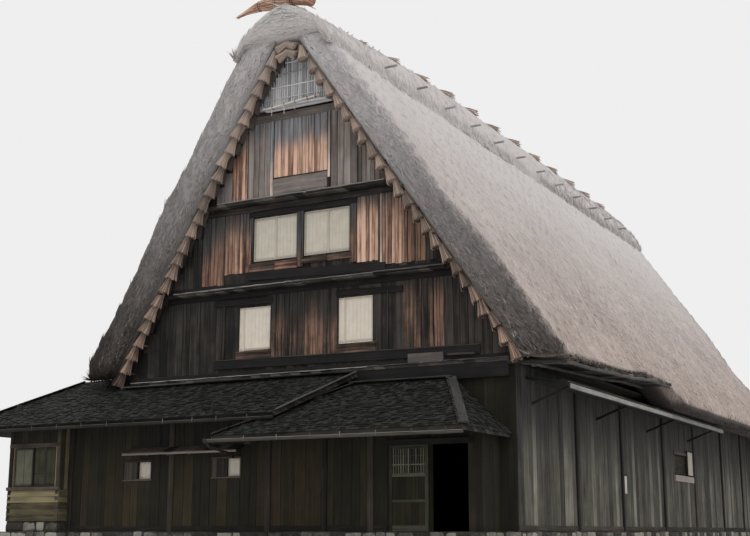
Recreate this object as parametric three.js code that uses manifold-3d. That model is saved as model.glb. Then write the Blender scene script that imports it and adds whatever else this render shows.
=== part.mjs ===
// A thatched farmhouse: steep gables in oversailing storeys, hipped lean-to roofs and a sliding door.
// Millimetres, +Z up. The front gable faces -Y and the ridge runs along Y.
import * as THREE from 'three';
import { mergeVertices } from 'three/addons/utils/BufferGeometryUtils.js';
import Module from 'manifold-3d';

const wasm = await Module();
wasm.setup();

// Fit between pieces that touch.
const GAP = 0.3;

// Storey levels: the tops of the attic floors, from the ground up.
const LEVEL = [4130, 6430, 8685, 11060];
const FLOOR_THICK = 80;
const HOUSE_LENGTH = 24460;

// Thatch: each face is a line x = slope * (apex - z). The outer faces lie a little to the left.
const OUTER_SLOPE = 0.6928;
const OUTER_APEX = 14213;
const OUTER_EXTRA = { left: 250, right: 10 };
const INNER_SLOPE = 0.6597;
const INNER_APEX = 12545;
const REED_DEPTH = 400;
const THATCH_CUT_TOP = 12900;
const EAVE_BOTTOM = { left: 3950, right: 3650 };
const EAVE_FACE = { left: 6850, right: 7200 };
const VERGE_FOOT = 454;
const VERGE_LEAN = 0.0992;

// Underside of each eave near the front, where it is cut higher, as points in Y and Z.
const EAVE_LINE = {
  left: [[-280, 4040], [0, 4240], [350, 4430], [8700, 4430], [9400, 3650]],
  right: [[-1000, 3900], [-280, 3920], [0, 4080], [1700, 4120], [5200, 4260], [6600, 4370], [8700, 4380], [9400, 3530]],
};
const EAVE_LINE_X = [5000, 8000];
const CUT_MARGIN = 300;

// Soft swells in each slope's face, as height, run along Y, run up and phase.
const SWELLS = [[48, 5600, 5200, 0.6], [34, 3900, -3300, 2.1], [22, -9100, 3700, 4.0]];
const SWELL_TURN = { left: 1.7, right: 0 };
const SWELL_OUT = [0.82, 0.57];
const SWELL_STEPS = 16;
const SWELL_ROWS = 6;
const SWELL_TOP = 12500;
const SWELL_FADE = 1200;
const FACE_CAMBER = 12;
const VERGE_ROUND = 260;
const VERGE_ROUND_ROW = 78;

// Reed bundles under the verges.
const BUNDLE_COUNT = 22;
const BUNDLE_BUTT = 400;
const BUNDLE_NECK = 170;
const BUNDLE_FOOT = 4050;
const BUNDLE_HEAD = 60;
const REED_RECESS = 60;

// Ridge cap: half of its section, from the lip over the slope up to the crest.
const RIDGE_AXIS = -120;
const RIDGE_LIP_Z = 12640;
const RIDGE_TOP = 14180;
const RIDGE_SECTION = [[1310, RIDGE_LIP_Z], [1400, 13050], [600, 14140], [0, RIDGE_TOP]];
const RIDGE_FACETS = 7;
const RIDGE_STEPS = 12;
const RIDGE_SAG = { front: 580, back: 120 };
const RIDGE_SAG_RUN = 8000;
const RIDGE_SAG_POWER = 1.5;

// Straw saddles across the crest, and a needle pole through each lip of the cap below every saddle.
const SADDLE_PLACES = { start: 2000, step: 1900, count: 12 };
const SADDLE_RADIUS = 100;
const SADDLE_HALF = 750;
const SADDLE_DROP = 280;
const SADDLE_ARCH = 260;
const SADDLE_SIDES = 8;
const SADDLE_STEPS = 6;
const NEEDLE_RADIUS = 42;
const NEEDLE_Z = 12740;
const NEEDLE_RUNS = [[-1800, -1310], [1080, 1560]];

// Straw roll over the front end of the ridge, as an arched line.
const ROLL_RADIUS = 190;
const ROLL_LINE = [[-1500, 13640], [-420, 13960], [700, 13620]];
const ROLL_BACK = 350;
const ROLL_SIDES = 12;
const ROLL_STEPS = 8;

// Gables: the outer face of each storey's wall, and how far each floor reaches past it as a ledge.
const GABLE_FACE = [-40, -240, -440, -600];
const GABLE_THICK = 120;
const LEDGE_REACH = [120, 320, 520, 730];
const LEDGE_INSET = 20;
const LATTICE_THICK = 60;
const LATTICE_INSET = 200;
const LATTICE_RISE = 200;
const LATTICE_HEAD = 30;

// Paper windows, as [left, right, bottom, top].
const WINDOWS_LOW = [[-2080, -1100, 4767, 5934], [930, 1915, 4767, 5934]];
const WINDOWS_HIGH = [[-1540, -188, 7080, 8247], [8, 1360, 7080, 8247]];
const SASH_THICK = 40;
const SASH_INSET = 30;

// Lean-to roofs.
const PITCH = 0.57;
const ROOF_THICK = 110;
const LEAN_TOP = 4090;
const LEAN_EAVE_Y = -2000;
const LEAN_LEFT_X = -10050;
const LEAN_BREAK = 2400;
const LEAN_STRIP_TOP = 4385;
const LEAN_STRIP_X = -6100;
const LEAN_RIGHT_EAVE_X = 330;
const LEAN_RIGHT_TOP_X = 1550;
const ROOF_TOP_Y = -130;
const BACK_ROOF_HALF = 6900;
const BACK_ROOF_WAIST = 280;
const ANNEX_ROOF_REACH = 150;
const ENTRY_EAVE_Y = -2600;
const ENTRY_EAVE_Z = 2400;
const ENTRY_PITCH = 0.55;
const ENTRY_LEFT_X = -940;
const ENTRY_RIGHT_X = 5480;
const ENTRY_RIGHT_TOP_X = 4140;
const ENTRY_LEFT_TOP_X = 1490;
const ENTRY_HIP_Y = -300;

// Ground storey.
const WALL = 120;
const FRONT_Y = -1000;
const BAY_Y = -1350;
const BAY_LEFT = -8600;
const BAY_RIGHT = -6790;
const BAY_WINDOW = [-8455, -6960, 1370, 2410];
const ANNEX_BACK = 8500;
const BODY_HALF = 5620;
const PORCH_RIGHT = 5200;
const BACK_Y = HOUSE_LENGTH + 1000;
const BASE_HEIGHT = 200;
const BAY_BASE_HEIGHT = 470;
const BASE_PROUD = 120;
const BASE_WIDTH = 320;
const GROUND_FLOOR_THICK = 120;
const SMALL_WINDOWS = [[-4430, -4020, 1520, 1950], [-1640, -1260, 1530, 1970]];
const SIDE_WINDOW = [13350, 15500, 1980, 2640];
const POST = 150;
const POST_PROUD = 30;
const FRONT_POSTS = [-6715, -3360, -430, 1150, 2400];
const ROOF_STEP_X = 700;
const WELD = 20;

// Sliding door.
const DOOR_LEFT = 3940;
const DOOR_RIGHT = 4860;
const DOOR_TOP = 2150;
const LEAF_WIDTH = 1000;
const LEAF_THICK = 40;
const LEAF_CLEAR = 8;
const LEAF_SEAT = 0.6;
const LEAF_LEFT = 2890;
const RAIL_HEIGHT = 130;
const RAIL_DEPTH = 110;
const RAIL_GROOVE = 25;
const RAIL_LEFT = 50;
const RAIL_RIGHT = 100;

// Beams that carry the gables over the open ground storey.
const BEAM_LOW = 3700;
const BEAM_FRONT = -110;
const BEAM_BACK = 130;
const CORNER_POST = 200;

// Pent boards: over the small front windows, and along the right side.
const PENT_LEFT = -4700;
const PENT_RIGHT = -1150;
const PENT_REACH = 360;
const PENT_Z = 2110;
const PENT_RISE = 150;
const PENT_THICK = 40;
const SIDE_PENT_Y = [600, 15600];
const SIDE_PENT_REACH = 1100;
const SIDE_PENT_Z = 3750;
const SIDE_PENT_DROP = 200;
const SIDE_PENT_THICK = 70;
const SIDE_PENT_FASCIA = 150;
const SIDE_PENT_EDGE = 40;

const finishes = {
  thatch: new THREE.MeshStandardMaterial({ color: 0x5d5048, roughness: 1, metalness: 0 }),
  reed: new THREE.MeshStandardMaterial({ color: 0x6b5143, roughness: 1, metalness: 0 }),
  straw: new THREE.MeshStandardMaterial({ color: 0x8a6a54, roughness: 1, metalness: 0 }),
  gable_board: new THREE.MeshStandardMaterial({ color: 0x4a2f24, roughness: 0.85, metalness: 0 }),
  wall_board: new THREE.MeshStandardMaterial({ color: 0x2e2420, roughness: 0.85, metalness: 0 }),
  floor_board: new THREE.MeshStandardMaterial({ color: 0x57504a, roughness: 0.8, metalness: 0 }),
  frame_timber: new THREE.MeshStandardMaterial({ color: 0x2a2320, roughness: 0.8, metalness: 0 }),
  shingle: new THREE.MeshStandardMaterial({ color: 0x2d2a2b, roughness: 0.9, metalness: 0 }),
  bay_board: new THREE.MeshStandardMaterial({ color: 0x4d4740, roughness: 0.85, metalness: 0 }),
  paper: new THREE.MeshStandardMaterial({ color: 0xe8e6da, roughness: 0.7, metalness: 0 }),
  stone: new THREE.MeshStandardMaterial({ color: 0x77736c, roughness: 0.95, metalness: 0 }),
};

const house = new THREE.Group();

// Geometry helpers.
function box(x0, x1, y0, y1, z0, z1) {
  const geometry = new THREE.BoxGeometry(x1 - x0, y1 - y0, z1 - z0);
  return geometry.translate((x0 + x1) / 2, (y0 + y1) / 2, (z0 + z1) / 2);
}

function outline(points) {
  const shape = new THREE.Shape(points.map(([u, v]) => new THREE.Vector2(u, v)));
  return shape;
}

function extrude(shape, length, steps = 1) {
  return new THREE.ExtrudeGeometry(shape, { depth: length, bevelEnabled: false, steps });
}

// Outline in X and Z, run from y0 to y1.
function prismY(points, y0, y1, steps = 1) {
  return extrude(outline(points), y1 - y0, steps).rotateX(Math.PI / 2).translate(0, y1, 0);
}

// Outline in Y and Z, run from x0 to x1.
function prismX(points, x0, x1) {
  const turn = new THREE.Matrix4().makeBasis(
    new THREE.Vector3(0, 1, 0), new THREE.Vector3(0, 0, 1), new THREE.Vector3(1, 0, 0));
  return extrude(outline(points), x1 - x0).applyMatrix4(turn).translate(x0, 0, 0);
}

// Outline in X and Y, run from z0 to z1.
function prismZ(points, z0, z1) {
  return extrude(outline(points), z1 - z0).translate(0, 0, z0);
}

function solid(geometry) {
  const bare = geometry.clone();
  bare.deleteAttribute('normal');
  bare.deleteAttribute('uv');
  const merged = mergeVertices(bare, 1e-3);
  return new wasm.Manifold(new wasm.Mesh({
    numProp: 3,
    vertProperties: new Float32Array(merged.attributes.position.array),
    triVerts: new Uint32Array(merged.index.array),
  }));
}

function toGeometry(manifold) {
  const mesh = manifold.getMesh();
  const geometry = new THREE.BufferGeometry();
  geometry.setAttribute('position', new THREE.BufferAttribute(mesh.vertProperties, 3));
  geometry.setIndex(new THREE.BufferAttribute(mesh.triVerts, 1));
  return geometry;
}

function join(...geometries) {
  return toGeometry(geometries.map(solid).reduce((whole, next) => whole.add(next)));
}

function cut(geometry, ...tools) {
  return toGeometry(tools.map(solid).reduce((whole, tool) => whole.subtract(tool), solid(geometry)));
}

function meet(geometry, other) {
  return toGeometry(solid(geometry).intersect(solid(other)));
}

// A copy turned about the middle of the house, for the back gable.
function toBack(geometry) {
  return geometry.clone().rotateZ(Math.PI).translate(0, HOUSE_LENGTH, 0);
}

function add(name, geometry, finish) {
  const mesh = new THREE.Mesh(geometry, finishes[finish]);
  mesh.name = name;
  house.add(mesh);
  return mesh;
}

function outerX(z, side) {
  return OUTER_SLOPE * (OUTER_APEX - z) + OUTER_EXTRA[side];
}

function reedTipX(z) {
  return INNER_SLOPE * (INNER_APEX - z);
}

function innerX(z) {
  return reedTipX(z) + REED_DEPTH;
}

function vergeY(z) {
  return -(VERGE_FOOT + VERGE_LEAN * (z - LEVEL[0]));
}

// Moves both ends of a long piece out with height, as the verges lean.
function leanEnds(geometry, recess = 0) {
  const place = geometry.attributes.position;
  for (let i = 0; i < place.count; i += 1) {
    const reach = -vergeY(place.getZ(i)) - recess;
    if (place.getY(i) < 1) place.setY(i, -reach);
    if (place.getY(i) > HOUSE_LENGTH - 1) place.setY(i, HOUSE_LENGTH + reach);
  }
  return geometry;
}

// How far the thatch swells out at a place on its face. It fades out at the eave and under the ridge cap.
function swell(y, z, side) {
  const low = eaveTop(side);
  const fade = Math.max(0, Math.min(1, (z - low) / SWELL_FADE, (SWELL_TOP - z) / SWELL_FADE));
  const waves = SWELLS.map(([height, along, up, phase]) => (
    height * Math.sin(2 * Math.PI * (y / along + z / up) + phase + SWELL_TURN[side])));
  return fade * waves.reduce((total, wave) => total + wave, 0);
}

// Places along the house where a slope has a row of points, closer together at the verges.
function slopeRows() {
  const long = HOUSE_LENGTH - 2 * VERGE_ROUND;
  const middle = Array.from({ length: SWELL_STEPS + 1 }, (_, i) => VERGE_ROUND + long * i / SWELL_STEPS);
  return [0, VERGE_ROUND_ROW, ...middle, HOUSE_LENGTH - VERGE_ROUND_ROW, HOUSE_LENGTH];
}

function placeRows(geometry) {
  const place = geometry.attributes.position;
  const rows = slopeRows();
  for (let i = 0; i < place.count; i += 1) {
    place.setY(i, rows[Math.round(place.getY(i) / HOUSE_LENGTH * (rows.length - 1))]);
  }
  return geometry;
}

// Rounds the outer edges of both verges, up to where the ridge cap lies over them.
function roundVerges(geometry) {
  const place = geometry.attributes.position;
  for (let i = 0; i < place.count; i += 1) {
    const y = place.getY(i);
    const z = place.getZ(i);
    const inside = Math.max(0, VERGE_ROUND - Math.min(y, HOUSE_LENGTH - y));
    const fade = Math.max(0, Math.min(1, (SWELL_TOP - z) / SWELL_FADE));
    if (place.getX(i) > innerX(z) + 1) {
      place.setX(i, place.getX(i) - fade * (VERGE_ROUND - Math.sqrt(VERGE_ROUND ** 2 - inside ** 2)));
    }
  }
  return geometry;
}

function swellFace(geometry, side) {
  const place = geometry.attributes.position;
  for (let i = 0; i < place.count; i += 1) {
    const x = place.getX(i);
    const z = place.getZ(i);
    if (x > outerX(z, side) - 1) {
      const rise = swell(place.getY(i), z, side);
      place.setX(i, x + rise * SWELL_OUT[0]);
      place.setZ(i, z + rise * SWELL_OUT[1]);
    }
  }
  return geometry;
}

// Height of the upper edge of an eave's face.
function eaveTop(side) {
  return OUTER_APEX - (EAVE_FACE[side] - OUTER_EXTRA[side]) / OUTER_SLOPE;
}

// Thatch slopes. The eave is cut higher over the side roofs near the front.
function thatchSlope(side) {
  const bottom = EAVE_BOTTOM[side];
  const low = eaveTop(side);
  const face = Array.from({ length: SWELL_ROWS + 1 }, (_, i) => {
    const z = low + (SWELL_TOP - low) * i / SWELL_ROWS;
    return [outerX(z, side) + FACE_CAMBER * Math.sin(Math.PI * i / SWELL_ROWS), z];
  });
  const section = [
    [innerX(bottom), bottom], [EAVE_FACE[side], bottom], ...face,
    [outerX(THATCH_CUT_TOP, side), THATCH_CUT_TOP], [innerX(THATCH_CUT_TOP), THATCH_CUT_TOP],
  ];
  const slab = prismY(section, 0, HOUSE_LENGTH, slopeRows().length - 1);
  leanEnds(roundVerges(swellFace(placeRows(slab), side)));
  const line = EAVE_LINE[side];
  const start = line[0][0];
  const end = line[line.length - 1][0];
  const under = bottom - CUT_MARGIN;
  return cut(slab, prismX([[start, under], ...line, [end, under]], ...EAVE_LINE_X));
}

function addThatch() {
  add('thatch_left', toGeometry(solid(thatchSlope('left')).mirror([1, 0, 0])), 'thatch');
  add('thatch_right', thatchSlope('right'), 'thatch');
}

// How far the crest has sunk at a place along the house, most at its front end.
function ridgeSag(y) {
  const fade = (distance) => Math.max(0, 1 - distance / RIDGE_SAG_RUN) ** RIDGE_SAG_POWER;
  return RIDGE_SAG.front * fade(y) + RIDGE_SAG.back * fade(HOUSE_LENGTH - y);
}

// A round bar with the given number of sides, bent along a line of three points.
function bentRound(points, radius, sides, steps) {
  const round = Array.from({ length: sides }, (_, i) => {
    const turn = 2 * Math.PI * i / sides;
    return [radius * Math.cos(turn), radius * Math.sin(turn)];
  });
  const line = new THREE.QuadraticBezierCurve3(...points.map((point) => new THREE.Vector3(...point)));
  return new THREE.ExtrudeGeometry(outline(round), { steps, extrudePath: line });
}

// The saddle over the crest at a place along the house, and the needle poles below it.
function ridgeTie(y) {
  const crest = RIDGE_TOP - ridgeSag(y);
  const saddle = bentRound([
    [RIDGE_AXIS - SADDLE_HALF, y, crest - SADDLE_DROP],
    [RIDGE_AXIS, y, crest + SADDLE_ARCH],
    [RIDGE_AXIS + SADDLE_HALF, y, crest - SADDLE_DROP],
  ], SADDLE_RADIUS, SADDLE_SIDES, SADDLE_STEPS);
  const needles = NEEDLE_RUNS.map(([x0, x1]) => (
    new THREE.CylinderGeometry(NEEDLE_RADIUS, NEEDLE_RADIUS, x1 - x0, SADDLE_SIDES)
      .rotateZ(Math.PI / 2).translate((x0 + x1) / 2, y, NEEDLE_Z)));
  return [saddle, ...needles];
}

// Ridge cap: a rounded straw cap that laps over both slopes.
function ridgeCap() {
  const top = new THREE.CubicBezierCurve(
    ...RIDGE_SECTION.map(([x, z]) => new THREE.Vector2(x, z))).getPoints(RIDGE_FACETS);
  const right = top.map((point) => [RIDGE_AXIS + point.x, point.y]);
  const left = top.slice(0, -1).reverse().map((point) => [RIDGE_AXIS - point.x, point.y]);
  const cap = prismY([...right, ...left], 0, HOUSE_LENGTH, RIDGE_STEPS);
  const place = cap.attributes.position;
  for (let i = 0; i < place.count; i += 1) {
    const share = (place.getZ(i) - RIDGE_LIP_Z) / (RIDGE_TOP - RIDGE_LIP_Z);
    place.setZ(i, place.getZ(i) - share * ridgeSag(place.getY(i)));
  }
  const bed = prismY([
    [-outerX(RIDGE_LIP_Z - CUT_MARGIN, 'left') - GAP, RIDGE_LIP_Z - CUT_MARGIN],
    [outerX(RIDGE_LIP_Z - CUT_MARGIN, 'right') + GAP, RIDGE_LIP_Z - CUT_MARGIN],
    [outerX(THATCH_CUT_TOP, 'right') + GAP, THATCH_CUT_TOP + GAP],
    [-outerX(THATCH_CUT_TOP, 'left') - GAP, THATCH_CUT_TOP + GAP],
  ], -HOUSE_LENGTH, HOUSE_LENGTH * 2);
  const { start, step, count } = SADDLE_PLACES;
  const ties = Array.from({ length: count }, (_, i) => ridgeTie(start + step * i)).flat();
  return join(cut(leanEnds(cap, REED_RECESS), bed), ...ties);
}

function addRidge() {
  const cap = ridgeCap();
  const y = vergeY(RIDGE_TOP) + ROLL_BACK;
  const roll = bentRound(ROLL_LINE.map(([x, z]) => [x, y, z]), ROLL_RADIUS, ROLL_SIDES, ROLL_STEPS);
  add('ridge_cap', cap, 'straw');
  add('ridge_roll', cut(roll, cap.clone().translate(0, 0, GAP)), 'straw');
}

// Reed bundles: saw teeth along the inner side of a verge, butts down.
function reedOutline() {
  const foot = BUNDLE_FOOT;
  const head = INNER_APEX - BUNDLE_HEAD;
  const step = (head - foot) / BUNDLE_COUNT;
  const teeth = [];
  for (let i = 0; i < BUNDLE_COUNT; i += 1) {
    const low = foot + i * step;
    const high = low + step;
    teeth.push([Math.max(innerX(low) - BUNDLE_BUTT, 1), low]);
    teeth.push([Math.max(innerX(high) - BUNDLE_NECK, 1), high]);
  }
  const crown = INNER_APEX + REED_DEPTH / INNER_SLOPE - 2;
  return [[innerX(foot) - GAP, foot], [1, crown], [1, head + 1], ...teeth.reverse()];
}

function addReeds() {
  const whole = leanEnds(prismY(reedOutline(), 0, HOUSE_LENGTH), REED_RECESS);
  const wide = EAVE_FACE.right;
  const floors = LEVEL.slice(1).map((z) => z - FLOOR_THICK);
  const tops = [...floors, RIDGE_TOP];
  const bottoms = [0, ...floors];
  const blocks = [box(-wide, wide, -HOUSE_LENGTH, HOUSE_LENGTH, THATCH_CUT_TOP - GAP, RIDGE_TOP)];
  GABLE_FACE.forEach((face, storey) => {
    blocks.push(box(-wide, wide, face - GAP, HOUSE_LENGTH * 2, bottoms[storey] - GAP, tops[storey]));
  });
  LEVEL.forEach((z, storey) => {
    const half = ledgeHalf(storey) + GAP;
    const front = -LEDGE_REACH[storey] - GAP;
    blocks.push(box(-half, half, front, HOUSE_LENGTH, z - FLOOR_THICK - GAP, z + GAP));
  });
  const right = cut(whole, ...blocks);
  const left = toGeometry(solid(right).mirror([1, 0, 0]));
  add('verge_reeds_front_left', left, 'reed');
  add('verge_reeds_front_right', right, 'reed');
  add('verge_reeds_back_left', toBack(right), 'reed');
  add('verge_reeds_back_right', toBack(left), 'reed');
}

// Attic floors. Each runs out through both gables as a ledge.
function ledgeHalf(storey) {
  return reedTipX(LEVEL[storey]) - LEDGE_INSET;
}

function addFloors() {
  ['lower', 'middle', 'upper'].forEach((label, storey) => {
    const z = LEVEL[storey];
    const ledge = ledgeHalf(storey);
    const half = innerX(z) - GAP;
    const front = GABLE_FACE[storey];
    const reach = LEDGE_REACH[storey];
    const plan = [
      [-ledge, -reach], [ledge, -reach], [ledge, front], [half, front],
      [half, HOUSE_LENGTH - front], [ledge, HOUSE_LENGTH - front],
      [ledge, HOUSE_LENGTH + reach], [-ledge, HOUSE_LENGTH + reach],
      [-ledge, HOUSE_LENGTH - front], [-half, HOUSE_LENGTH - front],
      [-half, front], [-ledge, front],
    ];
    add(`attic_floor_${label}`, prismZ(plan, z - FLOOR_THICK, z), 'floor_board');
  });
}

// Gable walls.
function gablePanel(storey, bottom, top) {
  const front = GABLE_FACE[storey];
  const low = innerX(bottom) - GAP;
  const high = innerX(top) - GAP;
  return prismY([[-low, bottom], [low, bottom], [high, top], [-high, top]], front, front + GABLE_THICK);
}

// A hole cut from a wall whose outer face is at the given place, and the sash that fills it.
function windowHole([left, right, bottom, top], face) {
  return box(left, right, face - CUT_MARGIN, face + CUT_MARGIN, bottom, top);
}

function sash([left, right, bottom, top], face) {
  const y = face + SASH_INSET;
  return box(left + GAP, right - GAP, y, y + SASH_THICK, bottom + GAP, top - GAP);
}

function addPair(name, geometry, finish) {
  add(name.replace('SIDE', 'front'), geometry, finish);
  add(name.replace('SIDE', 'back'), toBack(geometry), finish);
}

function addGables() {
  const under = FLOOR_THICK + GAP;
  const low = gablePanel(0, LEVEL[0] + GAP, LEVEL[1] - under);
  const middle = gablePanel(1, LEVEL[1] + GAP, LEVEL[2] - under);
  const high = gablePanel(2, LEVEL[2] + GAP, LEVEL[3] - under);
  const lowHoles = WINDOWS_LOW.map((place) => windowHole(place, GABLE_FACE[0]));
  const highHoles = WINDOWS_HIGH.map((place) => windowHole(place, GABLE_FACE[1]));
  addPair('gable_wall_SIDE_low', cut(low, ...lowHoles), 'gable_board');
  addPair('gable_wall_SIDE_middle', cut(middle, ...highHoles), 'gable_board');
  addPair('gable_wall_SIDE_high', high, 'gable_board');
  ['left', 'right'].forEach((side, i) => {
    addPair(`paper_window_SIDE_low_${side}`, sash(WINDOWS_LOW[i], GABLE_FACE[0]), 'paper');
    addPair(`paper_window_SIDE_middle_${side}`, sash(WINDOWS_HIGH[i], GABLE_FACE[1]), 'paper');
  });
}

// Top of each gable: a ledge with a lattice standing on it.
function addGableTops() {
  const z = LEVEL[3];
  const half = ledgeHalf(3);
  const face = GABLE_FACE[3];
  const ledge = box(-half, half, -LEDGE_REACH[3], face + GABLE_THICK, z - FLOOR_THICK, z);
  const foot = innerX(z) - LATTICE_INSET;
  const crown = INNER_APEX + LATTICE_RISE;
  const base = z - WELD;
  const screen = prismY([
    [-foot, base], [foot, base], [LATTICE_HEAD, crown], [-LATTICE_HEAD, crown],
  ], face, face + LATTICE_THICK);
  addPair('gable_top_SIDE', join(ledge, screen), 'gable_board');
}

// Lean-to roofs.
function slopeSlab(frontY, frontZ, backY, pitch, x0, x1) {
  const rise = (backY - frontY) * pitch;
  return prismX([
    [frontY, frontZ - ROOF_THICK], [backY, frontZ + rise - ROOF_THICK],
    [backY, frontZ + rise], [frontY, frontZ],
  ], x0, x1);
}

function onPlan(slab, plan) {
  return meet(slab, prismZ(plan, 0, RIDGE_TOP));
}

function leanHeight(y) {
  return LEAN_TOP + PITCH * y;
}

function addFrontRoof() {
  const eaveZ = leanHeight(LEAN_EAVE_Y);
  const breakX = LEAN_LEFT_X + LEAN_BREAK;
  const breakY = LEAN_EAVE_Y + LEAN_BREAK;
  const breakZ = eaveZ + PITCH * LEAN_BREAK;
  const topX = LEAN_STRIP_X;
  const front = onPlan(slopeSlab(LEAN_EAVE_Y, eaveZ, breakY, PITCH, LEAN_LEFT_X, LEAN_RIGHT_TOP_X), [
    [LEAN_LEFT_X, LEAN_EAVE_Y], [LEAN_RIGHT_EAVE_X, LEAN_EAVE_Y],
    [LEAN_RIGHT_TOP_X, ROOF_TOP_Y], [topX, ROOF_TOP_Y], [topX, breakY], [breakX, breakY],
  ]);
  const leftSection = [
    [LEAN_LEFT_X, eaveZ - ROOF_THICK], [breakX, breakZ - ROOF_THICK], [topX, LEAN_STRIP_TOP - ROOF_THICK],
    [topX, LEAN_STRIP_TOP], [breakX, breakZ], [LEAN_LEFT_X, eaveZ],
  ];
  const backEnd = ANNEX_BACK + ANNEX_ROOF_REACH;
  const left = onPlan(prismY(leftSection, LEAN_EAVE_Y, backEnd), [
    [LEAN_LEFT_X, LEAN_EAVE_Y], [breakX, breakY], [topX, breakY], [topX, backEnd], [LEAN_LEFT_X, backEnd],
  ]);
  add('lean_to_roof_front', join(front, left), 'shingle');
}

function addEntranceRoof() {
  const hipZ = ENTRY_EAVE_Z + ENTRY_PITCH * (ENTRY_HIP_Y - ENTRY_EAVE_Y);
  const slab = slopeSlab(ENTRY_EAVE_Y, ENTRY_EAVE_Z, ROOF_TOP_Y, ENTRY_PITCH, ENTRY_LEFT_X, ENTRY_RIGHT_X);
  const front = onPlan(slab, [
    [ENTRY_LEFT_X, ENTRY_EAVE_Y], [ENTRY_RIGHT_X, ENTRY_EAVE_Y],
    [ENTRY_RIGHT_TOP_X, ENTRY_HIP_Y], [ENTRY_RIGHT_TOP_X, ROOF_TOP_Y],
    [ENTRY_LEFT_TOP_X, ROOF_TOP_Y], [ENTRY_LEFT_TOP_X, ENTRY_HIP_Y],
  ]);
  const wallFace = FRONT_Y - POST_PROUD - GAP;
  const reach = wallFace - ENTRY_EAVE_Y;
  const hipRun = reach * (ENTRY_LEFT_TOP_X - ENTRY_LEFT_X) / (ENTRY_HIP_Y - ENTRY_EAVE_Y);
  const leftTop = ENTRY_EAVE_Z + ENTRY_PITCH * reach;
  const left = onPlan(prismY([
    [ENTRY_LEFT_X, ENTRY_EAVE_Z - ROOF_THICK], [ENTRY_LEFT_X + hipRun, leftTop - ROOF_THICK],
    [ENTRY_LEFT_X + hipRun, leftTop], [ENTRY_LEFT_X, ENTRY_EAVE_Z],
  ], ENTRY_EAVE_Y, wallFace), [
    [ENTRY_LEFT_X, ENTRY_EAVE_Y], [ENTRY_LEFT_X + hipRun, wallFace], [ENTRY_LEFT_X, wallFace],
  ]);
  const right = onPlan(prismY([
    [ENTRY_RIGHT_TOP_X, hipZ - ROOF_THICK], [ENTRY_RIGHT_X, ENTRY_EAVE_Z - ROOF_THICK],
    [ENTRY_RIGHT_X, ENTRY_EAVE_Z], [ENTRY_RIGHT_TOP_X, hipZ],
  ], ENTRY_EAVE_Y, 0), [
    [ENTRY_RIGHT_X, ENTRY_EAVE_Y], [ENTRY_RIGHT_X, -GAP],
    [ENTRY_RIGHT_TOP_X, -GAP], [ENTRY_RIGHT_TOP_X, ENTRY_HIP_Y],
  ]);
  add('entrance_roof', join(front, left, right), 'shingle');
}

// A plain roof over the back wall, kept clear of the thatch's corners.
function addBackRoof() {
  const half = BACK_ROOF_HALF;
  const waist = BODY_HALF + BACK_ROOF_WAIST;
  const shoulder = vergeY(EAVE_BOTTOM.left) - GAP;
  const slab = slopeSlab(LEAN_EAVE_Y, leanHeight(LEAN_EAVE_Y), ROOF_TOP_Y, PITCH, -half, half);
  const plan = [
    [-half, LEAN_EAVE_Y], [half, LEAN_EAVE_Y], [half, shoulder], [waist, shoulder],
    [waist, ROOF_TOP_Y], [-waist, ROOF_TOP_Y], [-waist, shoulder], [-half, shoulder],
  ];
  add('lean_to_roof_back', toBack(onPlan(slab, plan)), 'shingle');
}

// Heights of the roofs' undersides where walls meet them.
function underLean(y) {
  return leanHeight(y) - ROOF_THICK - GAP;
}

function underEntry(y) {
  return ENTRY_EAVE_Z + ENTRY_PITCH * (y - ENTRY_EAVE_Y) - ROOF_THICK - GAP;
}

function underEntryRight(x) {
  const rise = ENTRY_PITCH * (ENTRY_HIP_Y - ENTRY_EAVE_Y);
  const run = ENTRY_RIGHT_X - ENTRY_RIGHT_TOP_X;
  return ENTRY_EAVE_Z + rise * (ENTRY_RIGHT_X - x) / run - ROOF_THICK - GAP;
}

// Plan of the ground storey, anticlockwise.
const PLAN = [
  [BAY_LEFT, BAY_Y], [BAY_RIGHT, BAY_Y], [BAY_RIGHT, FRONT_Y], [PORCH_RIGHT, FRONT_Y],
  [PORCH_RIGHT, 0], [BODY_HALF, 0], [BODY_HALF, BACK_Y], [-BODY_HALF, BACK_Y],
  [-BODY_HALF, ANNEX_BACK], [BAY_LEFT, ANNEX_BACK],
];

// The plan with each side moved inwards by the given distance.
function inset(points, distance) {
  return points.map(([x, y], i) => {
    const before = points[(i + points.length - 1) % points.length];
    const after = points[(i + 1) % points.length];
    const inX = -Math.sign(y - before[1]) - Math.sign(after[1] - y);
    const inY = Math.sign(x - before[0]) + Math.sign(after[0] - x);
    return [x + distance * inX, y + distance * inY];
  });
}

function addBase() {
  const inner = BASE_WIDTH - BASE_PROUD;
  const room = prismZ(inset(PLAN, inner), -WELD, BASE_HEIGHT + WELD);
  const ring = cut(prismZ(inset(PLAN, -BASE_PROUD), 0, BASE_HEIGHT), room);
  const low = BASE_HEIGHT - WELD;
  const bayFront = box(BAY_LEFT, BAY_RIGHT, BAY_Y, BAY_Y + WALL, low, BAY_BASE_HEIGHT);
  const bayReturn = box(BAY_RIGHT - WALL, BAY_RIGHT, BAY_Y, FRONT_Y + WALL, low, BAY_BASE_HEIGHT);
  add('stone_base', join(ring, bayFront, bayReturn), 'stone');
  add('ground_floor', prismZ(inset(PLAN, inner + GAP), 0, GROUND_FLOOR_THICK), 'floor_board');
}

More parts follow.
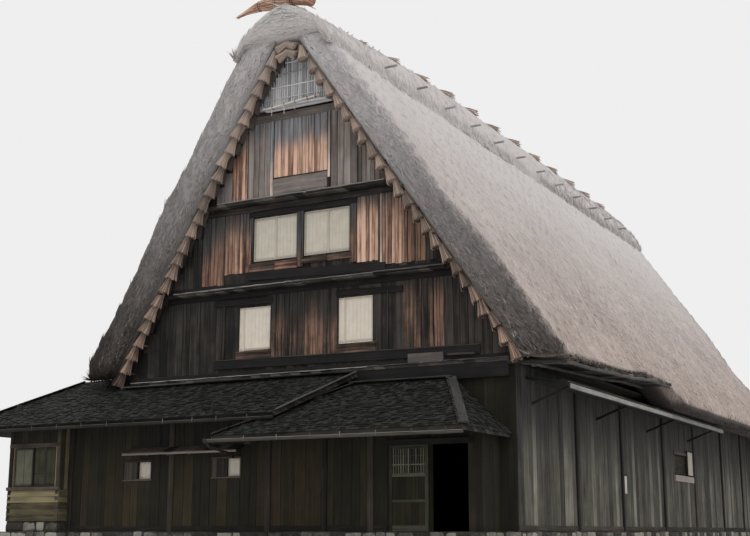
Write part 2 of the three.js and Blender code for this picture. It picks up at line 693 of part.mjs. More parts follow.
// Front and back beams, the left plate beam and its corner post, framed together.
function addBeams() {
  const top = LEVEL[0] - FLOOR_THICK - GAP;
  const right = BODY_HALF - WALL - GAP;
  const left = -BODY_HALF + WALL + GAP;
  const front = box(-BODY_HALF, right, BEAM_FRONT, BEAM_BACK, BEAM_LOW, top);
  const back = box(left, right, HOUSE_LENGTH - BEAM_BACK, HOUSE_LENGTH - BEAM_FRONT, BEAM_LOW, top);
  const plate = box(-BODY_HALF, -BODY_HALF + WALL, 0, ANNEX_BACK - WALL - GAP, BEAM_LOW, top);
  const foot = GROUND_FLOOR_THICK + GAP;
  const post = box(-BODY_HALF, -BODY_HALF + CORNER_POST, 0, BEAM_BACK, foot, BEAM_LOW + WELD);
  add('front_beam_frame', join(front, plate, post), 'frame_timber');
  add('back_beam', back, 'frame_timber');
}

// Front wall, in three parts round the doorway.
function addFrontWall() {
  const back = FRONT_Y + WALL;
  const foot = BASE_HEIGHT + GAP;
  const face = FRONT_Y - POST_PROUD;
  const step = ROOF_STEP_X;
  const left = BAY_RIGHT + GAP;
  const right = DOOR_LEFT - GAP;
  const panel = prismY([
    [left, foot], [right, foot], [right, underEntry(face)], [step, underEntry(face)],
    [step, underLean(face)], [left, underLean(face)],
  ], FRONT_Y, back);
  const posts = FRONT_POSTS.map((x) => {
    const top = x < step ? underLean(face) : underEntry(face);
    const edge = Math.max(x - POST / 2, left);
    return box(edge, x + POST / 2, face, FRONT_Y + WELD, foot, top);
  });
  const holes = SMALL_WINDOWS.map((place) => windowHole(place, FRONT_Y));
  add('front_wall_left', cut(join(panel, ...posts), ...holes), 'wall_board');
  ['left', 'right'].forEach((side, i) => {
    add(`small_window_${side}`, sash(SMALL_WINDOWS[i], FRONT_Y), 'paper');
  });

  const hipRun = (ENTRY_RIGHT_X - ENTRY_RIGHT_TOP_X) / (ENTRY_HIP_Y - ENTRY_EAVE_Y);
  const hipX = ENTRY_RIGHT_X - hipRun * (back - ENTRY_EAVE_Y);
  const kneeX = hipX + (underEntryRight(hipX) - underEntry(FRONT_Y)) * (ENTRY_RIGHT_X - ENTRY_RIGHT_TOP_X)
    / (ENTRY_PITCH * (ENTRY_HIP_Y - ENTRY_EAVE_Y));
  const over = prismY([
    [DOOR_LEFT, DOOR_TOP], [DOOR_RIGHT, DOOR_TOP], [DOOR_RIGHT, underEntryRight(DOOR_RIGHT)],
    [kneeX, underEntry(FRONT_Y)], [DOOR_LEFT, underEntry(FRONT_Y)],
  ], FRONT_Y, back);
  add('front_wall_over_door', over, 'wall_board');

  const beside = prismY([
    [DOOR_RIGHT + GAP, foot], [PORCH_RIGHT, foot], [PORCH_RIGHT, underEntryRight(PORCH_RIGHT)],
    [DOOR_RIGHT + GAP, underEntryRight(DOOR_RIGHT + GAP)],
  ], FRONT_Y, back);
  const returnTop = underEntryRight(PORCH_RIGHT);
  const sideReturn = box(PORCH_RIGHT - WALL, PORCH_RIGHT, FRONT_Y + WELD, WALL, foot, returnTop);
  const edge = BODY_HALF - WALL - GAP;
  const porchX = PORCH_RIGHT - WALL;
  const topX = ENTRY_RIGHT_TOP_X;
  const corner = prismY([
    [porchX, foot], [edge, foot], [edge, BEAM_LOW - GAP], [topX, BEAM_LOW - GAP],
    [topX, underEntryRight(topX)], [porchX, underEntryRight(PORCH_RIGHT)],
  ], 0, WALL);
  add('front_wall_right', join(beside, sideReturn, corner), 'wall_board');
}

// Sliding leaf, open to the left, and the rail that guides its top.
function addDoor() {
  const foot = BASE_HEIGHT + LEAF_SEAT;
  const railZ = DOOR_TOP - RAIL_GROOVE;
  const back = FRONT_Y - LEAF_CLEAR;
  const face = back - LEAF_THICK;
  const left = LEAF_LEFT - RAIL_LEFT;
  const right = DOOR_RIGHT + RAIL_RIGHT;
  const leaf = box(LEAF_LEFT, LEAF_LEFT + LEAF_WIDTH, face, back, foot, DOOR_TOP - LEAF_CLEAR);
  const rail = box(left, right, FRONT_Y - RAIL_DEPTH, FRONT_Y - GAP, railZ, railZ + RAIL_HEIGHT);
  const groove = box(left - WELD, right + WELD, face - LEAF_CLEAR, FRONT_Y, railZ - WELD, DOOR_TOP);
  add('door_leaf', leaf, 'wall_board');
  add('door_rail', cut(rail, groove), 'frame_timber');
}

// Bay at the left corner and the annex walls behind it.
function addAnnex() {
  const foot = BAY_BASE_HEIGHT + GAP;
  const front = prismY([
    [BAY_LEFT, foot], [BAY_RIGHT, foot], [BAY_RIGHT, underLean(BAY_Y)], [BAY_LEFT, underLean(BAY_Y)],
  ], BAY_Y, BAY_Y + WALL);
  const side = prismX([
    [BAY_Y + WELD, foot], [FRONT_Y + WALL, foot], [FRONT_Y + WALL, underLean(FRONT_Y + WALL)],
    [BAY_Y + WELD, underLean(BAY_Y + WELD)],
  ], BAY_RIGHT - WALL, BAY_RIGHT);
  add('bay_wall', cut(join(front, side), windowHole(BAY_WINDOW, BAY_Y)), 'bay_board');
  add('paper_window_bay', sash(BAY_WINDOW, BAY_Y), 'paper');

  const eaveZ = leanHeight(LEAN_EAVE_Y);
  const underSide = (x) => eaveZ + PITCH * (x - LEAN_LEFT_X) - ROOF_THICK - GAP;
  const breakX = LEAN_LEFT_X + LEAN_BREAK;
  const hipY = LEAN_EAVE_Y + BAY_LEFT - LEAN_LEFT_X;
  const start = BAY_Y + WALL + GAP;
  const wallFoot = BASE_HEIGHT + GAP;
  const left = prismX([
    [start, wallFoot], [ANNEX_BACK, wallFoot], [ANNEX_BACK, underSide(BAY_LEFT)],
    [hipY, underSide(BAY_LEFT)], [start, underLean(start)],
  ], BAY_LEFT, BAY_LEFT + WALL);
  const stripEnd = LEAN_STRIP_TOP - ROOF_THICK - GAP;
  const houseSide = -BODY_HALF - GAP;
  const floorUnder = LEVEL[0] - FLOOR_THICK - GAP;
  const edge = BAY_LEFT + WELD;
  const rear = prismY([
    [edge, wallFoot], [houseSide, wallFoot], [houseSide, floorUnder], [LEAN_STRIP_X, floorUnder],
    [LEAN_STRIP_X, stripEnd], [breakX, underSide(breakX)], [edge, underSide(edge)],
  ], ANNEX_BACK - WALL, ANNEX_BACK);
  add('annex_wall', join(left, rear), 'wall_board');
}

// Side walls run back to the rear wall, whose top is lower under its roof.
function sideWall(x0, startY) {
  const foot = BASE_HEIGHT + GAP;
  const top = LEVEL[0] - FLOOR_THICK - GAP;
  const roofHead = HOUSE_LENGTH - ROOF_TOP_Y;
  return prismX([
    [startY, foot], [BACK_Y, foot], [BACK_Y, underLean(FRONT_Y)],
    [roofHead, underLean(ROOF_TOP_Y)], [roofHead - GAP, top], [startY, top],
  ], x0, x0 + WALL);
}

function addSideWalls() {
  const [y0, y1, z0, z1] = SIDE_WINDOW;
  const rightX = BODY_HALF - WALL;
  const hole = box(BODY_HALF - CUT_MARGIN, BODY_HALF + CUT_MARGIN, y0, y1, z0, z1);
  add('right_wall', cut(sideWall(rightX, 0), hole), 'wall_board');
  const paneX = BODY_HALF - SASH_INSET;
  const pane = box(paneX - SASH_THICK, paneX, y0 + GAP, y1 - GAP, z0 + GAP, z1 - GAP);
  add('barred_window_right', pane, 'paper');
  add('left_wall', sideWall(-BODY_HALF, ANNEX_BACK - WALL), 'wall_board');
  const half = rightX - GAP;
  const back = box(-half, half, BACK_Y - WALL, BACK_Y, BASE_HEIGHT + GAP, underLean(FRONT_Y));
  add('back_wall', back, 'wall_board');
}

function addPents() {
  const wall = FRONT_Y - GAP;
  const tip = wall - PENT_REACH;
  const wallZ = PENT_Z + PENT_RISE;
  const board = prismX([
    [tip, PENT_Z], [wall, wallZ], [wall, wallZ + PENT_THICK], [tip, PENT_Z + PENT_THICK],
  ], PENT_LEFT, PENT_RIGHT);
  const half = POST / 2 + GAP;
  const notches = FRONT_POSTS.map((x) => box(x - half, x + half, wall - POST_PROUD, FRONT_Y, 0, LEVEL[0]));
  add('pent_board_front', cut(board, ...notches), 'frame_timber');
  const x0 = BODY_HALF + GAP;
  const x1 = x0 + SIDE_PENT_REACH;
  const low = SIDE_PENT_Z - SIDE_PENT_DROP;
  const edge = x1 - SIDE_PENT_EDGE;
  const side = prismY([
    [x0, SIDE_PENT_Z - SIDE_PENT_THICK], [edge, low - SIDE_PENT_THICK], [edge, low - SIDE_PENT_FASCIA],
    [x1, low - SIDE_PENT_FASCIA], [x1, low], [x0, SIDE_PENT_Z],
  ], ...SIDE_PENT_Y);
  add('pent_roof_right', side, 'shingle');
}

addThatch();
addRidge();
addReeds();
addFloors();
addGables();
addGableTops();
addFrontRoof();
addEntranceRoof();
addBackRoof();
addBase();
addBeams();
addFrontWall();
addDoor();
addAnnex();
addSideWalls();
addPents();

// Stand the house with the middle of its outline over the origin and its base on the ground.
const bounds = new THREE.Box3().setFromObject(house);
house.position.set(-(bounds.min.x + bounds.max.x) / 2, -(bounds.min.y + bounds.max.y) / 2, -bounds.min.z);

export default house;
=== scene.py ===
"""Thatched farmhouse: straw slopes, boarded gables, shingled side roofs, board walls and a sliding door."""

import logging
import math
from collections import defaultdict
from collections.abc import Sequence
from dataclasses import dataclass, field, replace
from enum import Enum
from itertools import pairwise

import bpy
import numpy as np
from mathutils import Euler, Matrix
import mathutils


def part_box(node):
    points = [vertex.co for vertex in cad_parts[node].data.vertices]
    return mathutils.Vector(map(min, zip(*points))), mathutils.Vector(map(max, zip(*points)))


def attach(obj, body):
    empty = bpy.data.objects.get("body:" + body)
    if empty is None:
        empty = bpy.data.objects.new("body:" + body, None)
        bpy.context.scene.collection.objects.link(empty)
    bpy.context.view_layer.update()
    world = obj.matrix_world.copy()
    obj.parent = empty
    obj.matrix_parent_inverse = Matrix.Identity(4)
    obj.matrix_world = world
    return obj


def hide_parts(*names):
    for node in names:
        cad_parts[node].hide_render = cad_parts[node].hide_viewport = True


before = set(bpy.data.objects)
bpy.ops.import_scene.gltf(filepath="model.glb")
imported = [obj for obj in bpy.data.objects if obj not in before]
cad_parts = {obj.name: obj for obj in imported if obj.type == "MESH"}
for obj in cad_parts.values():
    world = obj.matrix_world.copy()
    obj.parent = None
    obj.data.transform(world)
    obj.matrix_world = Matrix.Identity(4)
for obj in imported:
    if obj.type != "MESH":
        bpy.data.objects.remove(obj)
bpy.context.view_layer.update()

log = logging.getLogger("farmhouse")

Array = np.ndarray
Vector = Sequence[float] | Array
Colour = tuple[int, int, int]
Triple = tuple[float, float, float]
Pair = tuple[float, float]
Opening = tuple[float, float, float, float]

HOUSE = "house"
LEAF = "sliding_door"

# Sizes in metres, from the middle of the front gable on the ground: X to the right, Y back, Z up.
HOUSE_LENGTH = 24.46
LEVELS = (4.13, 6.43, 8.685, 11.06)
GABLE_FACE = (-0.04, -0.24, -0.44, -0.60)
LEDGE_REACH = (0.12, 0.32, 0.52, 0.73)
OUTER_SLOPE = 0.6928
OUTER_APEX = 14.213
INNER_SLOPE = 0.6597
INNER_APEX = 12.545
REED_DEPTH = 0.4
REED_FOOT = 4.05
THATCH_TOP = 12.9
SWELLS = ((0.048, 5.6, 5.2, 0.6), (0.034, 3.9, -3.3, 2.1), (0.022, -9.1, 3.7, 4.0))
SWELL_TOP = 12.5
SWELL_END = 0.26
FRONT_Y = -1.0
FRONT_LEFT = -6.79
BODY_HALF = 5.62
BACK_WALL_Y = 25.46
ANNEX_BACK = 8.5
ANNEX_LEFT = -8.6
# Window holes, as left, right, foot and head.
SMALL_WINDOWS = ((-4.43, -4.02, 1.52, 1.95), (-1.64, -1.26, 1.53, 1.97))
BARRED_WINDOW = (13.35, 15.5, 1.98, 2.64)
NARROW_WINDOW = (7.84, 8.2, 1.2, 1.78)


def house_origin() -> Array:
    """Returns the house's own origin in the frame, read from the lowest attic floor."""
    low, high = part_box("attic_floor_lower")
    return np.array([(low.x + high.x) / 2, low.y + LEDGE_REACH[0], 0.0])


ORIGIN = house_origin()


def linear(colour: Colour) -> tuple[float, float, float, float]:
    """Turns red, green and blue from 0 to 255 into the linear colour that a shader takes."""
    parts = [value / 255 for value in colour]
    return *(p / 12.92 if p <= 0.04045 else ((p + 0.055) / 1.055) ** 2.4 for p in parts), 1.0


def ripple(points: Array, span: float, seed: int, octaves: int = 2) -> Array:
    """Gives smooth random heights.

    Args:
        points: Places, as (..., 3).
        span: Rough distance between two crests.
        seed: Picks the pattern.
        octaves: How many finer layers are added.

    Returns:
        One height for each place, mostly from -1 to 1.
    """
    rng = np.random.default_rng(seed)
    total = np.zeros(points.shape[:-1])
    for octave in range(octaves):
        waves = rng.normal(size=(6, 3)) * 3.8 * 2 ** octave / span
        phase = rng.uniform(0, 2 * np.pi, 6)
        total += np.sin(points @ waves.T + phase).sum(-1) * 0.5 ** octave / 3.2
    return total


def smooth_step(value: Array, low: float, high: float) -> Array:
    """Returns shares that ease from 0 at low to 1 at high."""
    share = np.clip((value - low) / (high - low), 0, 1)
    return share * share * (3 - 2 * share)


def unit(vectors: Array) -> Array:
    """Returns the vectors at length 1."""
    return vectors / np.maximum(np.linalg.norm(vectors, axis=-1, keepdims=True), 1e-9)


def hoop(turn: Array, radius: Array | float) -> Array:
    """Returns places round the X axis, at turns and a radius."""
    return np.stack([0 * turn, np.cos(turn) * radius, np.sin(turn) * radius], -1)


def joints_of(parts: Array, length: float) -> Array:
    """Returns the joints of parts that together take up a length, from 0 on."""
    return np.concatenate([[0], np.cumsum(parts)]) * length / parts.sum()


def shader_of(tree: bpy.types.NodeTree, kind: str = "BSDF_PRINCIPLED") -> bpy.types.Node:
    """Returns the first node of a kind."""
    return next(node for node in tree.nodes if node.type == kind)


def signed_volume(points: Array, faces: Sequence[Array]) -> Array:
    """Measures solids, to tell which are inside out.

    Args:
        points: Corners, as (solids, corners, 3).
        faces: Faces of one solid, as arrays of corner numbers.

    Returns:
        The volume of each solid, below zero where its faces point inwards.
    """
    near = points - points.mean(1, keepdims=True)
    total = np.zeros(len(points))
    for face in faces:
        for k in range(1, face.shape[1] - 1):
            a, b, c = near[:, face[:, 0]], near[:, face[:, k]], near[:, face[:, k + 1]]
            total += np.einsum("nfi,nfi->n", a, np.cross(b, c))
    return total / 6


def tube_faces(stations: int, sides: int) -> list[Array]:
    """Lists the side faces and the two ends of a run of rings.

    Args:
        stations: Number of rings along the run.
        sides: Corners of each ring.

    Returns:
        Faces as corner numbers.
    """
    ring, side = np.meshgrid(np.arange(stations - 1), np.arange(sides), indexing="ij")
    here = ring * sides + side
    along = ring * sides + (side + 1) % sides
    walls = np.stack([here, along, along + sides, here + sides], -1).reshape(-1, 4)
    return [walls, np.stack([np.arange(sides)[::-1], np.arange(sides) + (stations - 1) * sides])]


def lattice(xs: Array, ys: Array, zs: Array) -> tuple[Array, list[Array]]:
    """Covers a box with a grid on its six sides.

    Args:
        xs: Grid places along X.
        ys: Grid places along Y.
        zs: Grid places along Z.

    Returns:
        The points, and the faces as corner numbers.
    """
    skin = np.zeros((len(xs), len(ys), len(zs)), bool)
    skin[[0, -1]] = skin[:, [0, -1]] = skin[:, :, [0, -1]] = True
    number = np.full(skin.shape, -1)
    number[skin] = np.arange(skin.sum())
    quads = []
    for axis in range(3):
        for end in (0, -1):
            sheet = np.take(number, end, axis=axis)
            corners = [sheet[:-1, :-1], sheet[1:, :-1], sheet[1:, 1:], sheet[:-1, 1:]]
            quad = np.stack(corners, -1).reshape(-1, 4)
            quads.append(quad[:, ::-1] if (end == 0) != (axis == 1) else quad)
    return np.stack(np.meshgrid(xs, ys, zs, indexing="ij"), -1)[skin], [np.concatenate(quads)]


def rounded(points: Array, radius: Triple, size: Triple | None = None) -> Array:
    """Rounds the edges of a box that points lie on.

    Args:
        points: Points on the box.
        radius: Rounding for each axis.
        size: The box's size from its corner at zero, or nothing to take it from the points.

    Returns:
        The points, with the edges drawn in.
    """
    reach = np.array(radius)
    low, high = (points.min(0), points.max(0)) if size is None else (np.zeros(3), np.array(size))
    core = np.clip(points, low + reach, high - reach)
    away = (points - core) / reach
    return core + away * reach / np.maximum(np.linalg.norm(away, axis=-1, keepdims=True), 1)


def section(wide: Array, thick: Array, sides: int, bevel: float) -> Array:
    """Draws the sections of straight pieces.

    Args:
        wide: Width of each piece.
        thick: Thickness of each piece.
        sides: 4 for a plain board, 8 for bevelled edges, any other number for a round pole.
        bevel: Width of the bevel.

    Returns:
        Corners of each section, as (pieces, corners, 2).
    """
    half = np.stack([wide, thick], -1)[:, None] / 2
    if sides not in (4, 8):
        turn = np.arange(sides) * 2 * np.pi / sides
        return np.stack([np.cos(turn), np.sin(turn)], -1)[None] * half
    if sides == 4:
        return np.array([[-1, -1], [1, -1], [1, 1], [-1, 1]])[None] * half
    trim = np.minimum(bevel, 0.6 * half.min(-1))[..., None]
    sign = np.array([[-1, -1], [1, -1], [1, -1], [1, 1], [1, 1], [-1, 1], [-1, 1], [-1, -1]])
    pull = np.array([[1, 0], [1, 0], [0, 1], [0, 1]] * 2)
    return sign[None] * (half - trim * pull[None])


@dataclass
class Piece:
    """A part of the house that gathers closed solids, in the house's own axes, for one mesh.

    Attributes:
        turned: Whether it is turned about the middle of the house, to its back.
        rng: Source of chance.
        layers: What is gathered, by name.
        count: Number of corners so far.
    """

    turned: bool = field(default=False, kw_only=True)
    rng: np.random.Generator = field(init=False, repr=False)
    layers: dict[str, list[Array]] = field(init=False, repr=False, default_factory=lambda: defaultdict(list))
    count: int = field(init=False, default=0)

    @property
    def end(self) -> str:
        """Returns which end of the house it is at."""
        return "back" if self.turned else "front"

    def sow(self, seed: int) -> None:
        """Starts the piece's own chance."""
        self.rng = np.random.default_rng(seed)

    def solids(self, points: Array, faces: Sequence[Array], lay: Array, tone: Array | float,
               finish: int = 0, fade: Array | float = 0.0, soft: bool = False) -> None:
        """Adds equal solids.

        Args:
            points: Corners, as (solids, corners, 3).
            faces: Faces of one solid, as arrays of corner numbers.
            lay: Place in the grain for each corner: across, along and out.
            tone: Lightness of each solid, from 0 to 1.
            finish: Which of the mesh's materials they take.
            fade: A share for each corner, which brings in the finish's veil.
            soft: Whether the faces are shaded smooth.
        """
        amount, corners = points.shape[:2]
        first = self.count + np.arange(amount) * corners
        inside_out = signed_volume(points, faces) < 0
        for face in faces:
            whole = face[None] + first[:, None, None]
            whole[inside_out] = whole[inside_out][:, :, ::-1]
            total = amount * len(face)
            self.layers["corners"].append(whole.ravel())
            self.layers["sizes"].append(np.full(total, face.shape[1]))
            self.layers["tone"].append(np.repeat(np.broadcast_to(tone, (amount,)), len(face)))
            self.layers["finish"].append(np.full(total, finish))
            self.layers["soft"].append(np.full(total, soft))
        self.layers["points"].append(points.reshape(-1, 3))
        self.layers["lay"].append(np.broadcast_to(lay, points.shape).reshape(-1, 3))
        self.layers["fade"].append(np.broadcast_to(fade, points.shape[:2]).ravel())
        self.count += amount * corners

    def sticks(self, start: Vector, along: Vector, across: Vector, out: Vector, sides: int = 8,
               steps: int = 1,
               bevel: float = 0.004, bow: float = 0.0, wave: float = 0.0, taper: float = 1.0, finish: int = 0,
               tone: float | None = None, veil: Pair | None = None) -> None:
        """Adds straight pieces: boards, battens, shingles or poles.

        Args:
            start: Middle of the first end of each piece.
            along: Its whole length, as a vector.
            across: Its whole width, as a vector.
            out: Its whole thickness, as a vector.
            sides: As in section.
            steps: Number of parts along the length.
            bevel: Width of the bevel on a board's edges.
            bow: Most that a piece bends outwards at its middle.
            wave: Most that each station wanders.
            taper: Width at the far end, as a share of that at the first.
            finish: Which of the mesh's materials they take.
            tone: Their lightness, or nothing for random ones.
            veil: Heights between which the finish's veil comes in.
        """
        start, along, across, out = np.broadcast_arrays(
            *[np.atleast_2d(np.asarray(v, float)) for v in (start, along, across, out)])
        amount = len(start)
        length, wide, thick = (np.linalg.norm(v, axis=1) for v in (along, across, out))
        side_way, out_way = unit(across), unit(out)
        share = np.linspace(0, 1, steps + 1)
        bend = self.rng.uniform(-1, 1, (amount, 1)) * bow * np.sin(np.pi * share)[None]
        drift = np.zeros((2, amount, steps + 1))
        if wave:
            drift = self.rng.uniform(-wave, wave, drift.shape)
        middle = start[:, None] + along[:, None] * share[None, :, None]
        middle = middle + out_way[:, None] * (bend + drift[0])[..., None]
        middle = middle + side_way[:, None] * drift[1][..., None]
        corners = section(wide, thick, sides, bevel)
        u, v = np.moveaxis(corners[:, None] * (1 + (taper - 1) * share)[None, :, None, None], -1, 0)
        points = middle[:, :, None] + side_way[:, None, None] * u[..., None]
        points = points + out_way[:, None, None] * v[..., None]
        run = np.broadcast_to((length[:, None] * share)[..., None], u.shape)
        lay = np.stack([u, run, v], -1) + self.rng.uniform(0, 20, (amount, 1, 1, 3))
        points = points.reshape(amount, -1, 3)
        fade = 0.0 if veil is None else smooth_step(points[..., 2], *veil)
        shade = self.rng.uniform(0, 1, amount) if tone is None else tone
        self.solids(points, tube_faces(steps + 1, corners.shape[1]), lay.reshape(amount, -1, 3), shade,
                    finish, fade, soft=sides not in (4, 8))

    def bar(self, low: Triple, high: Triple, run: int = 0, bevel: float = 0.006,
            **shape: float | None) -> None:
        """Adds one square timber.

        Args:
            low: Its lowest corner.
            high: Its highest corner.
            run: Axis that its grain follows: 0, 1 or 2.
            bevel: Width of the bevel on its edges.
            shape: Anything else that sticks takes.
        """
        size = np.diag(np.subtract(high, low))
        side, out = [axis for axis in (0, 1, 2) if axis != run]
        start = (np.array(low) + np.array(high)) / 2 - size[run] / 2
        self.sticks(start, size[run], size[side], size[out], bevel=bevel, **shape)

    def spikes(self, butt: Array, tail: Array, across: Array, lift: Array, fade: Array,
               tone: Array | None = None) -> None:
        """Adds tufts of straw: wedges with a cut end that lies open, and a tail sunk in the surface.

        Args:
            butt: Middle of each tuft's cut end.
            tail: Its far tip.
            across: Width of the cut end, as a vector.
            lift: Height of the cut end, as a vector.
            fade: A share for each tuft, which brings in the finish's veil.
            tone: Lightness of each tuft, or nothing for a random one.
        """
        amount = len(butt)
        sunk = lift * 0.4
        points = np.stack([butt - across / 2 - sunk, butt + across / 2 - sunk, butt + lift, tail], 1)
        half = np.linalg.norm(across, axis=1) / 2
        lay = np.zeros((amount, 4, 3))
        lay[:, 0, 0], lay[:, 1, 0], lay[:, 3, 1] = -half, half, np.linalg.norm(tail - butt, axis=1)
        lay = lay + self.rng.uniform(0, 20, (amount, 1, 3))
        shade = self.rng.uniform(0, 1, amount) if tone is None else tone
        self.solids(points, [np.array([[0, 2, 1], [0, 1, 3], [1, 2, 3], [2, 0, 3]])], lay, shade,
                    fade=fade[:, None])

    def ropes(self, paths: Array, radius: float | Array, sides: int = 6, finish: int = 0,
              tone: Array | float | None = None) -> None:
        """Adds bent round pieces, such as ropes, poles and stalks.

        Args:
            paths: Points along each middle, as (pieces, stations, 3), or (stations, 3) for one piece.
            radius: One radius, or one for each piece and station.
            sides: Corners of each section.
            finish: Which of the mesh's materials they take.
            tone: Lightness of each piece, or nothing for random ones.
        """
        paths = paths.reshape(-1, *paths.shape[-2:])
        amount, stations = paths.shape[:2]
        ahead = unit(np.gradient(paths, axis=1))
        side = unit(np.cross(ahead, [0.13, 0.29, 0.95]))
        up = np.cross(side, ahead)
        turn = np.arange(sides) * 2 * np.pi / sides
        size = np.broadcast_to(np.asarray(radius, float), (amount, stations))[..., None, None]
        ring = side[:, :, None] * np.cos(turn)[:, None] + up[:, :, None] * np.sin(turn)[:, None]
        points = (paths[:, :, None] + ring * size).reshape(amount, -1, 3)
        step = np.linalg.norm(np.diff(paths, axis=1), axis=-1).cumsum(1)
        run = np.concatenate([np.zeros((amount, 1)), step], 1)
        lay = np.stack(np.broadcast_arrays(np.cos(turn) * 0.02, run[..., None], np.sin(turn) * 0.02), -1)
        lay = lay.reshape(amount, -1, 3) + self.rng.uniform(0, 20, (amount, 1, 3))
        shade = self.rng.uniform(0, 1, amount) if tone is None else tone
        self.solids(points, tube_faces(stations, sides), lay, shade, finish, soft=sides > 4)

    def place(self, name: str, finishes: Sequence["Finish"], slot: str, body: str = HOUSE,
              stands_for: Sequence[str] = ()) -> None:
        """Makes the mesh and hands it to the frame.

        Args:
            name: The piece's name.
            finishes: Its finishes, in the order of the solids' numbers.
            slot: The record's material slot; not used.
            body: The body that it rides on.
            stands_for: Nodes that it replaces.
        """
        data = {label: np.concatenate(values) for label, values in self.layers.items()}
        points, sizes = data["points"], data["sizes"]
        if self.turned:
            points = points * [-1, -1, 1] + [0, HOUSE_LENGTH, 0]
        mesh = bpy.data.meshes.new(name)
        mesh.vertices.add(len(points))
        mesh.vertices.foreach_set("co", (points + ORIGIN).astype(np.float32).ravel())
        mesh.loops.add(int(sizes.sum()))
        mesh.loops.foreach_set("vertex_index", data["corners"].astype(np.int32))
        mesh.polygons.add(len(sizes))
        mesh.polygons.foreach_set("loop_start", (np.cumsum(sizes) - sizes).astype(np.int32))
        mesh.polygons.foreach_set("material_index", data["finish"].astype(np.int32))
        mesh.polygons.foreach_set("use_smooth", data["soft"])
        mesh.update(calc_edges=True)
        for label, domain, kind, part in (("tone", "FACE", "FLOAT", "value"),
                                          ("fade", "POINT", "FLOAT", "value"),
                                          ("lay", "POINT", "FLOAT_VECTOR", "vector")):
            layer = mesh.attributes.new(label, kind, domain)
            layer.data.foreach_set(part, data[label].astype(np.float32).ravel())
        for finish in finishes:
            mesh.materials.append(finish.material())
        piece = bpy.data.objects.new(name, mesh)
        bpy.context.scene.collection.objects.link(piece)
        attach(piece, body)
        if stands_for:
            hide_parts(*stands_for)
        log.info("%s: %d triangles", name, int((sizes - 2).sum()))
        self.layers.clear()
        self.count = 0


class Lay(Enum):
    """Where a finish reads its grain: from the piece's own lay, or from a plain node's axes."""

    PIECE = "lay"
    UPRIGHT = (0, 2, 1)
    LEVEL_X = (1, 0, 2)
    LEVEL_Y = (0, 1, 2)


@dataclass
class Web:
    """The nodes of one material.

    Attributes:
        tree: The material's node tree.
    """

    tree: bpy.types.NodeTree

    def add(self, kind: str, values: dict[str | int, object] | None = None,
            **settings: object) -> bpy.types.Node:
        """Adds a node.

        Args:
            kind: The node's type.
            values: What goes into its inputs: plain values, or sockets that are linked.
            settings: The node's own settings.

        Returns:
            The node.
        """
        node = self.tree.nodes.new(kind)
        for key, value in settings.items():
            setattr(node, key, value)
        for key, value in (values or {}).items():
            if isinstance(value, bpy.types.NodeSocket):
                self.tree.links.new(value, node.inputs[key])
            else:
                node.inputs[key].default_value = value
        return node

    def sum(self, kind: str, a: object, b: object) -> bpy.types.NodeSocket:
        """Returns the result of one arithmetic step on two values or sockets."""
        return self.add("ShaderNodeMath", {0: a, 1: b}, operation=kind).outputs[0]

    def mix(self, share: object, a: object, b: object, blend: str = "MIX") -> bpy.types.NodeSocket:
        """Returns two colours mixed by a share."""
        return self.add("ShaderNodeMix", {0: share, 6: a, 7: b}, data_type="RGBA",
                        blend_type=blend).outputs[2]

    def noise(self, place: object, scale: Triple, detail: float = 4.0) -> bpy.types.NodeSocket:
        """Adds a noise that is stretched by a scale for each axis.

        Args:
            place: Where it is read.
            scale: Lumps in each metre along each axis.
            detail: How fine its detail is.

        Returns:
            The noise, from 0 to 1.
        """
        spot = self.add("ShaderNodeMapping", {"Vector": place, "Scale": scale}).outputs[0]
        values = {"Vector": spot, "Scale": 1.0, "Detail": detail, "Roughness": 0.6}
        return self.add("ShaderNodeTexNoise", values).outputs[0]

    def moved(self, value: object, share: float) -> bpy.types.NodeSocket:
        """Returns how far a value is from its middle, times a share."""
        return self.sum("MULTIPLY", self.sum("SUBTRACT", value, 0.5), share)

    def ease(self, value: object, low: float, high: float) -> bpy.types.NodeSocket:
        """Returns a share that eases from 0 at low to 1 at high."""
        values = {"Value": value, "From Min": low, "From Max": high}
        return self.add("ShaderNodeMapRange", values, interpolation_type="SMOOTHSTEP").outputs[0]

    def axes(self, place: object) -> bpy.types.NodeOutputs:
        """Returns the three parts of a place."""
        return self.add("ShaderNodeSeparateXYZ", {0: place}).outputs

    def spot(self) -> bpy.types.NodeSocket:
        """Returns the place in the object's own axes."""
        return self.add("ShaderNodeTexCoord").outputs["Object"]

    def read(self, label: str, output: str = "Fac") -> bpy.types.NodeSocket:
        """Returns what a piece keeps under a label."""
        return self.add("ShaderNodeAttribute", attribute_name=label).outputs[output]


